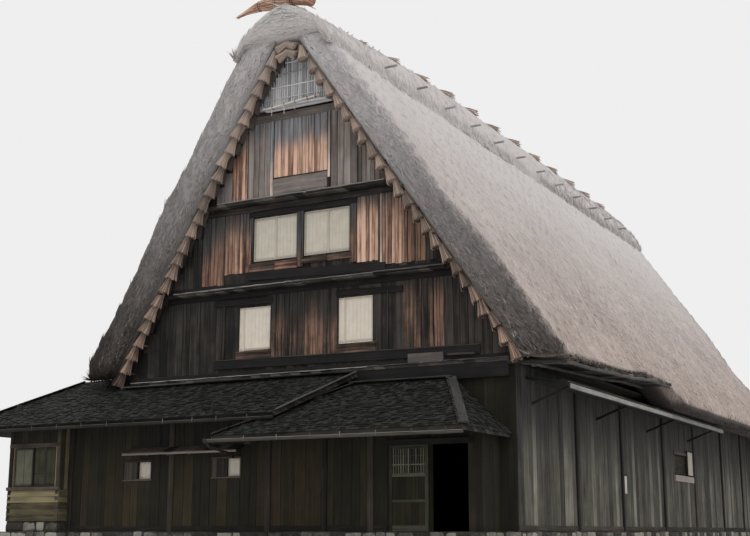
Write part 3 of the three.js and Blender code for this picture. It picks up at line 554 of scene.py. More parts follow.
@dataclass(frozen=True)
class Finish:
    """A worn natural surface: grain, blotches, a tone for each piece, and relief.

    Attributes:
        name: The material's name.
        dark: Colour of the deep grain.
        body: Main colour.
        light: Colour of the raised, bleached grain.
        grain: Streaks in each metre across, along and out.
        mottle: Blotches in each metre.
        shares: How much the grain, the blotches and the piece's tone move the colour.
        spread: How far the colours spread round the middle.
        relief: Depth of the bump in metres.
        roughness: Roughness of the surface.
        gloss: Specular level.
        veil: Colour that the fade brings in: sooty stain on boards, grey from weather on straw, and on many
            finishes also painted shade under eaves and ledges.
        veil_share: Most of the veil.
        tint: Whether the veil only darkens what is under it.
        granules: Lumps in each metre where the veil lies, or 0.
        ragged: How unevenly the veil comes in.
        pale: Colour of the painted haze, a pale veil of light that height brings in between the two pale
            heights.
        haze_share: Most of the painted haze.
        lay: Where the grain is read.
        board: Width of the boards drawn on a plain node, or 0.
    """

    name: str
    dark: Colour
    body: Colour
    light: Colour
    grain: Triple = (70.0, 2.5, 70.0)
    mottle: float = 1.3
    shares: Triple = (0.6, 0.35, 0.5)
    spread: float = 1.0
    relief: float = 0.003
    roughness: float = 0.85
    gloss: float = 0.25
    veil: Colour = (30, 28, 28)
    veil_share: float = 0.0
    tint: bool = False
    granules: float = 0.0
    ragged: float = 0.6
    pale: Colour = (170, 170, 170)
    haze_share: float = 0.0
    lay: Lay = Lay.PIECE
    board: float = 0.0

    def material(self) -> bpy.types.Material:
        """Makes the finish's material the first time it is asked for.

        Returns:
            The material.
        """
        label = f"{self.name}_finish"
        known = bpy.data.materials.get(label)
        if known is not None:
            return known
        material = bpy.data.materials.new(label)
        material.use_nodes = True
        web = Web(material.node_tree)
        place = self.place(web)
        grain = web.noise(place, self.grain, 5.0)
        mottle = web.noise(place, (self.mottle,) * 3, 3.0)
        tone, seam = self.tone(web, place)
        level = 0.5
        for value, share in zip((grain, mottle, tone), self.shares):
            level = web.sum("ADD", web.moved(value, share * 2 * self.spread), level)
        ramp = web.add("ShaderNodeValToRGB", {0: level})
        stops = ramp.color_ramp.elements
        stops[0].color, stops[1].color = linear(self.dark), linear(self.light)
        stops[0].position, stops[1].position = 0.1, 0.95
        stops.new(0.5).color = linear(self.body)
        colour = self.stain_shade_and_haze(web, ramp.outputs[0], grain, place)
        height = web.sum("ADD", grain, web.sum("MULTIPLY", mottle, 0.3))
        if seam is not None:
            colour = web.mix(seam, linear(self.dark), colour)
            height = web.sum("ADD", height, web.sum("MULTIPLY", seam, 1.5))
        bump = web.add("ShaderNodeBump", {"Height": height, "Distance": self.relief, "Strength": 0.8})
        shader = shader_of(web.tree)
        web.tree.links.new(colour, shader.inputs["Base Color"])
        web.tree.links.new(bump.outputs[0], shader.inputs["Normal"])
        shader.inputs["Roughness"].default_value = self.roughness
        shader.inputs["Specular IOR Level"].default_value = self.gloss
        return material

    def stain_shade_and_haze(self, web: Web, colour: object, grain: object, place: object) -> object:
        """Brings the veil (sooty stain or grey from weather, with painted shade on many finishes) and the
        painted haze over a colour.

        Args:
            web: The material's nodes.
            colour: The colour under them.
            grain: The grain.
            place: The place in the grain.

        Returns:
            The new colour.
        """
        # The veil: sooty stain on boards, grey from weather on straw, and on many finishes painted shade
        # under eaves, ledges and in recesses.
        if self.veil_share:
            lumps = web.noise(place, (self.granules,) * 3, 3.0) if self.granules else grain
            ragged = web.sum("ADD", web.read("fade"), web.moved(lumps, self.ragged))
            share = web.sum("MULTIPLY", web.ease(ragged, 0.05, 0.95), self.veil_share)
            veil = linear(self.veil)
            if self.tint:
                colour = web.mix(share, colour, veil, "MULTIPLY")
            else:
                deep, thin = ([part * lift for part in veil[:3]] + [1.0] for lift in (0.35, 2.1))
                colour = web.mix(share, colour, web.mix(web.ease(grain, 0.25, 0.75), deep, thin))
        # Painted haze: the colour pales with the object's height.
        if self.haze_share:
            share = web.sum("MULTIPLY", web.ease(web.axes(web.spot())[2], 3.0, 15.0), self.haze_share)
            colour = web.mix(share, colour, linear(self.pale))
        return colour

    def place(self, web: Web) -> bpy.types.NodeSocket:
        """Finds the place in the grain: across, along and out.

        Args:
            web: The material's nodes.

        Returns:
            The place.
        """
        if self.lay is Lay.PIECE:
            return web.read("lay", "Vector")
        parts = web.axes(web.spot())
        turned = {i: parts[axis] for i, axis in enumerate(self.lay.value)}
        return web.add("ShaderNodeCombineXYZ", turned).outputs[0]

    def tone(self, web: Web, place: object) -> tuple[bpy.types.NodeSocket, bpy.types.NodeSocket | None]:
        """Reads each piece's tone, or draws boards on a plain node.

        Args:
            web: The material's nodes.
            place: The place in the grain.

        Returns:
            The tone, and where boards are drawn a share that is 0 in their seams.
        """
        if not self.board:
            return web.read("tone") if self.lay is Lay.PIECE else web.noise(place, (0.7, 0.7, 0.7), 1.0), None
        parts = web.axes(place)
        spot = web.sum("DIVIDE", web.sum("ADD", parts[0], parts[2]), self.board)
        tone = web.add("ShaderNodeTexWhiteNoise", {"W": web.sum("FLOOR", spot, 0.0)}, noise_dimensions="1D")
        return tone.outputs[0], web.ease(web.sum("PINGPONG", spot, 0.5), 0.0, 0.03)


# Straw of the slopes. The veil is the verges' grey from weather together with painted shade, blue-grey on the
# right and brown on the left. The pale colour is painted haze that grows towards the ridge.
SLOPE_STRAW = Finish("straw_slope", (100, 88, 81), (164, 151, 144), (206, 193, 185), grain=(46.0, 3.0, 40.0),
                     mottle=0.6, shares=(0.75, 0.28, 0.45), relief=0.014, roughness=0.95, gloss=0.12,
                     veil=(108, 111, 115), veil_share=0.94, tint=True, granules=34.0, ragged=0.3,
                     pale=(194, 190, 190), haze_share=0.95)
LEFT_STRAW = replace(SLOPE_STRAW, name="straw_slope_left", shares=(0.9, 0.32, 0.8), spread=1.25,
                     veil=(68, 62, 54), veil_share=1.0, haze_share=0.86)
# The cap's pale colour is painted haze, growing with height.
CAP_STRAW = replace(SLOPE_STRAW, name="straw_cap", body=(154, 143, 137), light=(196, 184, 177),
                    pale=(188, 184, 183), veil=(205, 208, 212), veil_share=0.6)
RED_STRAW = Finish("straw_red", (136, 100, 82), (192, 152, 130), (224, 196, 176), grain=(60.0, 3.0, 60.0),
                   relief=0.004, roughness=0.9, gloss=0.2)
SADDLE_STRAW = replace(RED_STRAW, name="straw_saddle", dark=(146, 130, 122), body=(200, 182, 172),
                       light=(230, 216, 207), gloss=0.15)
# The reed's pale colour is painted haze, growing with height.
REED = Finish("reed", (56, 46, 41), (124, 104, 91), (182, 158, 142), grain=(90.0, 5.0, 90.0), mottle=2.0,
              shares=(0.35, 0.35, 0.8), roughness=0.9, gloss=0.15, pale=(174, 160, 151), haze_share=0.7)
# Darker copy of the reed for the back rows of bundles: painted shade in the recess behind the front row. Its
# pale colour is painted haze.
REED_SHADE = replace(REED, name="reed_shade", dark=(24, 21, 20), body=(48, 42, 38), light=(78, 69, 62),
                     haze_share=0.3)
STRAW_ROPE = Finish("straw_rope", (58, 48, 40), (104, 90, 76), (146, 130, 112), grain=(90.0, 30.0, 90.0),
                    roughness=0.95, gloss=0.1)
PALE_POLE = Finish("pole_pale", (112, 102, 92), (170, 160, 150), (206, 200, 192), relief=0.002, roughness=0.8)
RAFTER_POLE = Finish("pole_rafter", (44, 42, 40), (76, 73, 70), (108, 104, 100))
# The needle poles' pale colour is painted haze, growing with height.
CAP_POLE = Finish("pole_cap", (84, 80, 77), (132, 127, 123), (170, 165, 161), relief=0.002,
                  pale=(150, 148, 147), haze_share=0.65)
# Lighter finish of the thin strip along the top of each gutter pole, a painted highlight, and of the pegs.
GUTTER_HIGHLIGHT_AND_PEGS = Finish("gutter_edge", (46, 44, 42), (84, 81, 78), (120, 116, 112), relief=0.002)
GUTTER_POLE = Finish("pole_gutter", (24, 22, 20), (44, 41, 38), (72, 68, 63), relief=0.002, roughness=0.8)
# The verge poles' pale colour is painted haze, so that they fade out towards the top.
VERGE_POLE = Finish("pole_verge", (34, 30, 28), (62, 56, 52), (96, 90, 84), relief=0.002, roughness=0.8,
                    pale=(142, 142, 142), haze_share=0.95)
# Gable board finishes. Each storey swaps in its own veil colour towards the boards' tops: sooty stain with
# painted shade under the ledge above.
STREAKS = {"grain": (15.0, 0.6, 15.0), "mottle": 1.6, "spread": 1.25, "ragged": 1.5, "veil_share": 0.95}
ORANGE_BOARD = Finish("board_orange", (58, 40, 33), (138, 107, 91), (208, 172, 150), shares=(0.75, 0.3, 0.36),
                      **STREAKS)
RED_BOARD = Finish("board_red", (26, 22, 20), (68, 56, 49), (134, 102, 86), shares=(0.9, 0.35, 0.36),
                   **STREAKS)
GREY_BOARD = Finish("board_grey", (80, 74, 71), (116, 107, 102), (150, 140, 134), shares=(0.5, 0.3, 0.36),
                    **STREAKS)
DARK_BOARD = Finish("board_dark", (19, 18, 17), (38, 35, 32), (66, 60, 56), shares=(0.7, 0.4, 0.36),
                    **STREAKS)
BARE_BOARD = Finish("board_bare", (84, 74, 69), (158, 140, 130), (210, 192, 178), shares=(0.8, 0.3, 0.4),
                    **STREAKS)
BLACK_BOARD = Finish("board_black", (13, 12, 13), (24, 22, 22), (42, 38, 37), grain=(20.0, 0.8, 20.0),
                     relief=0.002)
# The ledge boards' pale colour is painted haze, growing with height.
LEDGE_BOARD = Finish("board_ledge", (34, 33, 32), (82, 80, 77), (158, 156, 152), grain=(40.0, 2.0, 40.0),
                     mottle=2.2, shares=(0.5, 0.5, 0.3), spread=1.3, pale=(176, 176, 176), haze_share=0.9)
# Wall board finishes. Their veil darkens the boards towards their heads: painted shade under the eaves and
# side roofs.
WALL_BOARD = Finish("wall_board", (17, 15, 10), (33, 30, 20), (52, 48, 33), grain=(18.0, 0.8, 18.0),
                    shares=(0.5, 0.35, 0.22), veil=(24, 23, 21), veil_share=0.7)
BROWN_WALL = replace(WALL_BOARD, name="wall_brown", dark=(19, 16, 10), body=(39, 34, 22), light=(58, 50, 33))
GREY_WALL = Finish("wall_grey", (38, 36, 32), (86, 83, 75), (130, 126, 116), grain=(18.0, 0.8, 18.0),
                   shares=(0.65, 0.35, 0.25), veil=(38, 38, 38), veil_share=0.8)
DIM_WALL = replace(GREY_WALL, name="wall_dim", dark=(30, 28, 25), body=(64, 61, 54), light=(102, 98, 89))
BAY_BOARD = Finish("bay_board", (48, 44, 31), (88, 81, 60), (128, 119, 90), grain=(44.0, 1.0, 44.0))
# The posts' veil darkens them towards their heads: painted shade under the eaves.
POST_WOOD = Finish("post_wood", (26, 23, 20), (52, 46, 40), (84, 76, 68), grain=(40.0, 1.0, 40.0),
                   veil=(26, 25, 24), veil_share=0.6)
LEAF_WOOD = Finish("leaf_wood", (30, 31, 24), (56, 58, 46), (84, 84, 70), grain=(44.0, 1.0, 44.0))
LEAF_LATTICE = Finish("leaf_lattice", (52, 52, 46), (84, 84, 76), (116, 116, 106), grain=(44.0, 2.0, 44.0))
# Very pale greys for the lattice and the boards behind it: painted haze, which makes them read light although
# they sit in shade under the thatch.
LATTICE_WOOD = Finish("lattice_wood", (160, 159, 161), (204, 203, 205), (228, 227, 229))
LATTICE_BACK = Finish("lattice_back", (160, 160, 163), (192, 192, 196), (218, 218, 222),
                      grain=(18.0, 1.0, 18.0), shares=(0.4, 0.3, 0.3))
SHINGLE = Finish("shingle", (14, 14, 13), (27, 27, 25), (45, 45, 42), grain=(50.0, 6.0, 50.0), mottle=1.1,
                 shares=(0.4, 0.3, 0.6), gloss=0.2)
ROOF_TRIM = Finish("roof_trim", (22, 22, 22), (42, 42, 41), (74, 73, 71), roughness=0.8)
PENT_EDGE = Finish("pent_edge", (66, 64, 62), (112, 110, 107), (150, 147, 143), grain=(40.0, 1.0, 40.0))
PAPER = Finish("paper", (150, 143, 130), (184, 177, 164), (206, 200, 188), grain=(3.0, 2.0, 3.0), mottle=4.0,
               shares=(0.3, 0.3, 0.25), spread=0.8, relief=0.0006, roughness=0.9, gloss=0.1)
LOW_PAPER = replace(PAPER, name="paper_low", dark=(174, 165, 151), body=(206, 197, 183),
                    light=(226, 217, 203))
BAY_PAPER = replace(PAPER, name="paper_bay", dark=(62, 61, 53), body=(94, 93, 81), light=(118, 117, 103))
DIM_PAPER = replace(PAPER, name="paper_dim", dark=(38, 38, 31), body=(58, 58, 47), light=(78, 77, 65))
STONE = Finish("stone", (50, 48, 44), (94, 91, 85), (138, 135, 127), grain=(14.0, 14.0, 14.0), mottle=3.0,
               shares=(0.5, 0.4, 0.6), relief=0.01, roughness=0.95, gloss=0.2)
MORTAR = replace(STONE, name="stone_bed", dark=(34, 32, 29), body=(56, 53, 49), light=(84, 80, 74),
                 lay=Lay.UPRIGHT)
GABLE_PLAIN = replace(DARK_BOARD, name="gable_plain", lay=Lay.UPRIGHT, board=0.21, veil_share=0.0)
WALL_PLAIN = replace(WALL_BOARD, name="wall_plain", lay=Lay.UPRIGHT, board=0.27, veil_share=0.0)
BAY_PLAIN = replace(BAY_BOARD, name="bay_plain", lay=Lay.UPRIGHT, board=0.24)
BEAM_PLAIN = replace(BLACK_BOARD, name="beam_plain", lay=Lay.LEVEL_X)
ROOF_PLAIN = replace(DARK_BOARD, name="roof_plain", lay=Lay.LEVEL_X, board=0.22, veil_share=0.0)
PENT_PLAIN = replace(ROOF_TRIM, name="pent_plain", lay=Lay.LEVEL_Y, board=0.4)
FLOOR_PLAIN = Finish("floor_plain", (34, 31, 29), (66, 61, 57), (100, 94, 88), lay=Lay.LEVEL_Y, board=0.3)
# Finishes of the nodes that show as they are.
PLAIN_NODES = {
    FLOOR_PLAIN: ("attic_floor_lower", "attic_floor_middle", "attic_floor_upper", "ground_floor"),
    GABLE_PLAIN: tuple(f"gable_wall_{end}_{level}" for end in ("front", "back")
                       for level in ("low", "middle", "high")),
    ROOF_PLAIN: ("lean_to_roof_front", "entrance_roof", "lean_to_roof_back"),
    PENT_PLAIN: ("pent_roof_right",),
    MORTAR: ("stone_base",),
    BEAM_PLAIN: ("front_beam_frame", "back_beam", "door_rail", "pent_board_front"),
    BAY_PLAIN: ("bay_wall",),
    WALL_PLAIN: ("front_wall_left", "front_wall_over_door", "front_wall_right", "annex_wall", "right_wall",
                 "left_wall", "back_wall"),
}


def outer_x(z: Array, extra: float) -> Array:
    """Returns how far the thatch's outer face stands from the middle, at a height."""
    return OUTER_SLOPE * (OUTER_APEX - z) + extra


def inner_x(z: Array | float) -> Array | float:
    """Returns how far the thatch's inner face stands from the middle, at a height."""
    return INNER_SLOPE * (INNER_APEX - z) + REED_DEPTH


def verge_y(z: Array | float) -> Array | float:
    """Returns where the front verge's face is, at a height."""
    return -(0.454 + 0.0992 * (z - LEVELS[0]))


class Side(Enum):
    """The left or the right of the house, seen from the front."""

    LEFT = -1
    RIGHT = 1


@dataclass
class ThatchSlope(Piece):
    """One thatched slope: a thick straw bed with soft edges, covered with brushed tufts.

    Attributes:
        side: Which slope it is.
        extra: How far its outer face stands beyond the plain line.
        eave: Distance of the eave's face from the middle.
        line: Underside of its eave, as places along the house and heights.
        bands: Darkening of its verges, grey from weather together with painted shade, as shares from the
            inner to the outer edge and the amount there.
        straw: Its finish.
        phase: Shift of its swells.
        fringe: Number of tufts along the eave.
        hang: How far the longest of them hangs.
        tufts: Number of tufts on the slope.
        verge_tufts: Number of tufts on each verge's face, and twice that along its edge.
        box: Size of the bed laid flat: across, along and up.
        softness: Rounding of the bed's edges across, along and up.
    """

    side: Side
    extra: float
    eave: float
    line: tuple[Pair, ...]
    bands: tuple[Pair, ...]
    straw: Finish
    phase: float = 0.0
    fringe: int = 2200
    hang: float = 0.05
    tufts: int = 23000
    verge_tufts: int = 4400
    box: Triple = (0.9, 26.3, 10.8)
    softness: Triple = (0.22, 0.27, 0.1)

    @property
    def face_foot(self) -> float:
        """Returns the height where the upright face of the eave ends."""
        return OUTER_APEX - (self.eave - self.extra) / OUTER_SLOPE

    def swell(self, y: Array, z: Array) -> Array:
        """Measures how far the thatch swells out, read from a coarse net of places.

        Args:
            y: Places along the house.
            z: Heights.

        Returns:
            How far the outer face stands out at each place.
        """
        low, length = self.face_foot, HOUSE_LENGTH - 2 * SWELL_END
        level = np.linspace(low, SWELL_TOP, 7)[:, None]
        stop = np.linspace(SWELL_END, HOUSE_LENGTH - SWELL_END, 17)
        net = np.clip(np.minimum(level - low, SWELL_TOP - level) / 1.2, 0, 1) * sum(
            height * np.sin(2 * np.pi * (stop / along + level / up) + phase + self.phase)
            for height, along, up, phase in SWELLS)
        v = np.clip((z - low) / (SWELL_TOP - low), 0, 0.9999) * 6
        u = np.clip((y - SWELL_END) / length, 0, 0.9999) * 16
        i, j = v.astype(int), u.astype(int)
        v, u = v - i, u - j
        lower = net[i, j] * (1 - u) + net[i, j + 1] * u
        upper = net[i + 1, j] * (1 - u) + net[i + 1, j + 1] * u
        return lower * (1 - v) + upper * v

    def bed(self, across: Array, along: Array, up: Array) -> Array:
        """Maps shares of the bed to places.

        Args:
            across: 0 on the inner face, 1 on the outer face.
            along: 0 on the front verge, 1 on the back verge.
            up: 0 at the eave, 1 under the ridge cap.

        Returns:
            Points in the house's axes.
        """
        foot = np.interp(along * HOUSE_LENGTH, *np.array(self.line).T)
        z = foot + up * (THATCH_TOP - foot)
        front = verge_y(z)
        y = front + along * (HOUSE_LENGTH - 2 * front)
        outer = np.minimum(outer_x(z, self.extra), self.eave)
        points = np.stack([inner_x(z) + across * (outer - inner_x(z)), y, z], -1)
        swell = self.swell(y, z) + 0.014 * ripple(points, 0.5, 21) + 0.008 * ripple(points, 1.6, 11)
        points = points + (smooth_step(across, 0.4, 1.0) * swell)[..., None] * np.array([0.82, 0.0, 0.57])
        end = smooth_step(np.abs(along - 0.5), 0.49, 0.5) * np.sign(along - 0.5)
        points[..., 1] += end * (0.03 * ripple(points, 0.7, 31) + 0.02 - 0.12 * smooth_step(z, 12.0, 12.6))
        return points * [self.side.value, 1, 1]

    def grey(self, across: Array, along: Array, up: Array) -> Array:
        """Measures the verge's darkening: grey from weather together with painted shade.

        Args:
            across: As in bed.
            along: As in bed.
            up: As in bed.

        Returns:
            How much of the grey each place takes.
        """
        reach = (0.5 - np.abs(along - 0.5)) * self.box[1]
        thin = 1 - 0.2 * smooth_step(up, 0.55, 0.95)
        return (1 - smooth_step(reach, 0.0, 0.6)) * np.interp(across, *np.array(self.bands).T) * thin

    def skin(self, across: Array | float, along: Array, up: Array) -> Array:
        """Maps shares to places as bed does, on the bed's rounded skin.

        Args:
            across: As in bed.
            along: As in bed.
            up: As in bed.

        Returns:
            Points in the house's axes.
        """
        box = np.stack(np.broadcast_arrays(across, along, up), -1) * self.box
        top = box[..., 2].copy()
        box = rounded(box, self.softness, (*self.box[:2], 2 * self.box[2])) / self.box
        box[..., 2] = np.where(top > self.softness[2], top / self.box[2], box[..., 2])
        return self.bed(box[..., 0], box[..., 1], box[..., 2])

    def low_face(self, places: Array) -> Array:
        """Returns 1 on the upright face of the eave, 0 above it."""
        return 1 - smooth_step(places[..., 2], self.face_foot - 0.1, self.face_foot + 0.02)

    def add_bed(self) -> None:
        """Adds the straw bed with rounded edges."""
        wide, long, high = self.box
        ends = np.array([0, 0.03, 0.08, 0.14, 0.22, 0.32])
        xs = np.array([0, 0.3, 0.5, 0.65, 0.76, 0.84, 0.88, wide])
        ys = np.concatenate([ends, np.linspace(0.5, long - 0.5, 100), long - ends[::-1]])
        zs = np.concatenate([[0, 0.03, 0.08, 0.14], np.linspace(0.22, high, 56)])
        points, faces = lattice(xs, ys, zs)
        across, along, up = (points / self.box).T
        places = self.skin(across, along, up)
        # The veil darkens the verges with grey from weather and painted shade. It also darkens the inner side
        # and the eave's upright face.
        inner = (1 - smooth_step(across, 0.4, 0.85)) * (along > 0.02) * (along < 0.98)
        fade = np.maximum(np.maximum(self.grey(across, along, up), inner), self.low_face(places))
        self.solids(places[None], faces, points[:, [1, 2, 0]], 0.4, fade=fade, soft=True)

    def brush(self, across: Array | float, along: Array | float, up: Array, length: Pair, width: Pair,
              lift: Pair, verge: bool = False, stand: float = 0.05) -> None:
        """Adds tufts at places on the bed, pointing down it.

        Args:
            across: As in bed.
            along: As in bed.
            up: As in bed.
            length: Shortest and longest tuft.
            width: Narrowest and widest.
            lift: Lowest and highest cut end.
            verge: Whether they lie on a verge's face.
            stand: Most that they point outwards.
        """
        across, along, up = np.broadcast_arrays(across, along, up)
        amount = len(up)
        root = self.skin(across, along, up)
        down = unit(self.skin(across, along, up - 0.01) - root)
        aside = 0.0 if verge else np.where(along < 0.5, 0.001, -0.001)
        level = unit(self.skin(across - 0.03 * verge, along + aside, up) - root)
        out = unit(np.cross(level, down))
        middle = self.bed(np.full(amount, 0.2), 0.5 + (along - 0.5) * 0.96, up)
        out = np.where(((root - middle) * out).sum(-1, keepdims=True) < 0, -out, out)
        swing = self.rng.normal(0, 0.22 if verge else 0.13, (amount, 1))
        way = unit(down + level * swing + out * self.rng.uniform(0.0, stand, (amount, 1)))
        size = [self.rng.uniform(*span, (amount, 1)) for span in (length, width, lift)]
        # Tufts on the verges take the same darkening: grey from weather with painted shade.
        fade = np.maximum(self.grey(across, along, up) + self.rng.normal(0, 0.1, amount), self.low_face(root))
        tone = self.rng.uniform(0.1, 0.95, amount) if verge else None
        self.spikes(root, root - way * size[0], level * size[1], out * size[2], np.clip(fade, 0, 1), tone)

    def add_tufts(self) -> None:
        """Adds the tufts on the slope and on both verges."""
        chance, amount = self.rng.uniform, self.verge_tufts
        self.brush(1.0, chance(0.003, 0.997, self.tufts), chance(0.012, 1, self.tufts), length=(0.08, 0.24),
                   width=(0.01, 0.026), lift=(0.002, 0.009))
        rim = amount // 2
        for end in (0.0, 1.0):
            self.brush(chance(0.01, 1.0, amount), end, chance(0.0, 0.985, amount), length=(0.12, 0.36),
                       width=(0.03, 0.085), lift=(0.008, 0.026), verge=True, stand=0.12)
            self.brush(1.0, np.abs(end - chance(0.0, 0.022, rim) ** 1.1), chance(0.01, 0.98, rim),
                       length=(0.08, 0.24), width=(0.01, 0.028), lift=(0.004, 0.016), stand=0.1)

    def add_fringe(self) -> None:
        """Adds the straw ends that hang from the eave."""
        chance, amount = self.rng.uniform, self.fringe
        root = self.skin(chance(0.45, 1.0, amount), chance(0.002, 0.998, amount), chance(0.0, 0.006, amount))
        way = unit(np.array([0.45 * self.side.value, 0.0, -0.9]) + self.rng.normal(0, 0.14, (amount, 3)))
        level = np.array([0.0, 1.0, 0.0])
        reach = chance(0.0, self.hang, (amount, 1))
        lift = unit(np.cross(level, way)) * self.side.value
        self.spikes(root + way * reach, root - way * 0.12, level * chance(0.012, 0.03, (amount, 1)),
                    lift * chance(0.008, 0.02, (amount, 1)), chance(0.8, 1.0, amount))

    def build(self) -> None:
        """Builds the slope and puts it in the place of its node."""
        self.sow(40 + self.side.value)
        self.add_bed()
        self.add_tufts()
        self.add_fringe()
        label = self.side.name.lower()
        self.place(f"straw_slope_{label}", [self.straw], "thatch", stands_for=[f"thatch_{label}"])


@dataclass
class RidgeCap(Piece):
    """The straw cap over the ridge, with its needle poles, ropes and crest bundles.

    Attributes:
        axis: Place of its middle across the house.
        lip: Height of its lower edges.
        top: Height of its crest where it hasn't sunk.
        curve: Half of its section, from the lip to the crest, as a cubic curve.
        box: Size of the cap laid flat: round, along and out.
        softness: Rounding of its edges round, along and out.
        tufts: Number of tufts on its faces, lips and crest, and on each end.
        needles: Place of the first needle along the house, the step to the next and their number.
        stalks: Number of straws in a saddle.
    """

    axis: float = -0.12
    lip: float = 12.28
    top: float = 14.18
    curve: tuple[Pair, ...] = ((1.475, 12.28), (1.4, 12.9), (0.6, 14.14), (0.0, 14.18))
    box: Triple = (4.2, 26.6, 0.9)
    softness: Triple = (0.1, 0.3, 0.3)
    tufts: tuple[int, ...] = (8800, 2800, 1500, 1300)
    needles: tuple[float, float, int] = (2.0, 1.9, 12)
    stalks: int = 84

    def sag(self, y: Array | float) -> Array | float:
        """Returns how far the crest has sunk along the house."""
        ends = ((0.58, y), (0.12, HOUSE_LENGTH - y))
        return sum(depth * np.clip(1 - reach / 8, 0, 1) ** 1.5 for depth, reach in ends)

    def surface(self, turn: Array, along: Array, depth: Array) -> Array:
        """Maps shares of the cap to places.

        Args:
            turn: 0 at the left lip, 0.5 on the crest, 1 at the right lip.
            along: 0 at the front end, 1 at the back end.
            depth: 0 under the cap, 1 on its outer face.

        Returns:
            Points in the house's axes.
        """
        side = np.sign(turn - 0.5)
        s = np.clip(1 - np.abs(turn - 0.5) * 2, 0, 1)
        weights = np.stack([(1 - s) ** 3, 3 * s * (1 - s) ** 2, 3 * s * s * (1 - s), s ** 3], -1)
        outer = weights @ np.array(self.curve)
        bed_z = self.lip + (THATCH_TOP - 0.3 - self.lip) * np.clip(s / 0.4, 0, 1)
        bed_x = (outer_x(bed_z, 0.13) - 0.06) * np.clip(1 - (s - 0.4) / 0.6, 0, 1)
        x = side * (bed_x + depth * (outer[..., 0] - bed_x)) + self.axis
        z = bed_z + depth * (outer[..., 1] - bed_z)
        z = z - (outer[..., 1] - self.lip) / (self.top - self.lip) * self.sag(along * HOUSE_LENGTH) * depth
        front = verge_y(z) - 0.03
        points = np.stack([x, front + along * (HOUSE_LENGTH - 2 * front), z], -1)
        swell = depth * (0.016 * ripple(points, 1.7, 51) + 0.008 * ripple(points, 0.4, 52, 1))
        away = unit(np.stack([side * (0.4 + s * 0), 0 * s, s + 0.1], -1))
        return points + away * swell[..., None]

    def skin(self, turn: Array, along: Array, depth: Array | float) -> Array:
        """Maps shares to places as surface does, on the cap's rounded skin.

        Args:
            turn: As in surface.
            along: As in surface.
            depth: As in surface.

        Returns:
            Points in the house's axes.
        """
        box = np.stack(np.broadcast_arrays(turn, along, depth), -1) * self.box
        box = rounded(box, self.softness, self.box) / self.box
        return self.surface(box[..., 0], box[..., 1], box[..., 2])

    def end_share(self, along: Array) -> Array:
        """Returns how much of the end's grey a place takes, from its share of the length."""
        return 1 - smooth_step((0.5 - np.abs(along - 0.5)) * self.box[1], 0.0, 0.9)

    def add_body(self) -> None:
        """Adds the cap itself, rounded at its ends and lips."""
        wide, long, deep = self.box
        lips = np.array([0, 0.03, 0.08])
        ends = np.array([0, 0.03, 0.08, 0.15, 0.24, 0.36])
        xs = np.concatenate([lips, np.linspace(0.16, wide - 0.16, 34), wide - lips[::-1]])
        ys = np.concatenate([ends, np.linspace(0.55, long - 0.55, 110), long - ends[::-1]])
        points, faces = lattice(xs, ys, np.array([0, 0.3, 0.55, 0.7, 0.8, 0.86, deep]))
        turn, along, depth = (points / self.box).T
        self.solids(self.skin(turn, along, depth)[None], faces, points[:, [1, 0, 2]], 0.45,
                    fade=self.end_share(along), soft=True)

    def brush(self, turn: Array, along: Array | float, depth: Array | float, length: Pair, width: Pair,
              lift: Pair, reach: Pair = (0.0, 0.0), stand: Pair = (0.0, 0.06)) -> None:
        """Adds tufts at places on the cap, pointing down from the crest.

        Args:
            turn: As in surface.
            along: As in surface.
            depth: As in surface.
            length: Shortest and longest tuft.
            width: Narrowest and widest.
            lift: Lowest and highest cut end.
            reach: How far the cut end stands beyond its place.
            stand: How much they point outwards.
        """
        turn, along, depth = np.broadcast_arrays(turn, along, depth)
        amount = len(turn)
        root = self.skin(turn, along, depth)
        down = unit(self.skin(turn + np.sign(turn - 0.5) * 0.01, along, depth) - root)
        out = unit(root - self.skin(turn, 0.5 + (along - 0.5) * 0.97, 0.3))
        out = unit(out - down * (out * down).sum(-1, keepdims=True))
        level = np.cross(out, down)
        swing, lean = self.rng.normal(0, 0.16, (amount, 1)), self.rng.uniform(*stand, (amount, 1))
        way = unit(down + level * swing + out * lean)
        size = [self.rng.uniform(*span, (amount, 1)) for span in (length, width, lift, reach)]
        fade = self.end_share(along) * self.rng.uniform(0.8, 1.0, amount)
        tone = self.rng.uniform(0.2, 0.8, amount)
        self.spikes(root + way * size[3], root - way * size[0], level * size[1], out * size[2], fade, tone)

    def add_tufts(self) -> None:
        """Adds tufts over the cap, along its lips and crest, and on its ends."""
        chance = self.rng.uniform
        faces, lip, crest, ends = self.tufts
        fine = {"length": (0.12, 0.34), "width": (0.012, 0.034)}
        self.brush(chance(0.01, 0.99, faces), chance(0.003, 0.997, faces), 1.0, lift=(0.003, 0.012), **fine)
        turn = np.where(self.rng.random(lip) < 0.5, chance(0.004, 0.05, lip), chance(0.95, 0.996, lip))
        self.brush(turn, chance(0.003, 0.997, lip), 1.0, length=(0.15, 0.4), width=(0.014, 0.036),
                   lift=(0.004, 0.014), reach=(0.0, 0.3))
        self.brush(chance(0.46, 0.54, crest), chance(0.003, 0.997, crest), 1.0, lift=(0.01, 0.03),
                   reach=(0.02, 0.16), stand=(0.3, 1.0), **fine)
        for end in (0.0, 1.0):
            self.brush(chance(0.01, 0.99, ends), end, chance(0.0, 1.0, ends) ** 0.7, length=(0.14, 0.4),
                       width=(0.03, 0.08), lift=(0.006, 0.02), reach=(0.0, 0.08), stand=(0.0, 0.12))

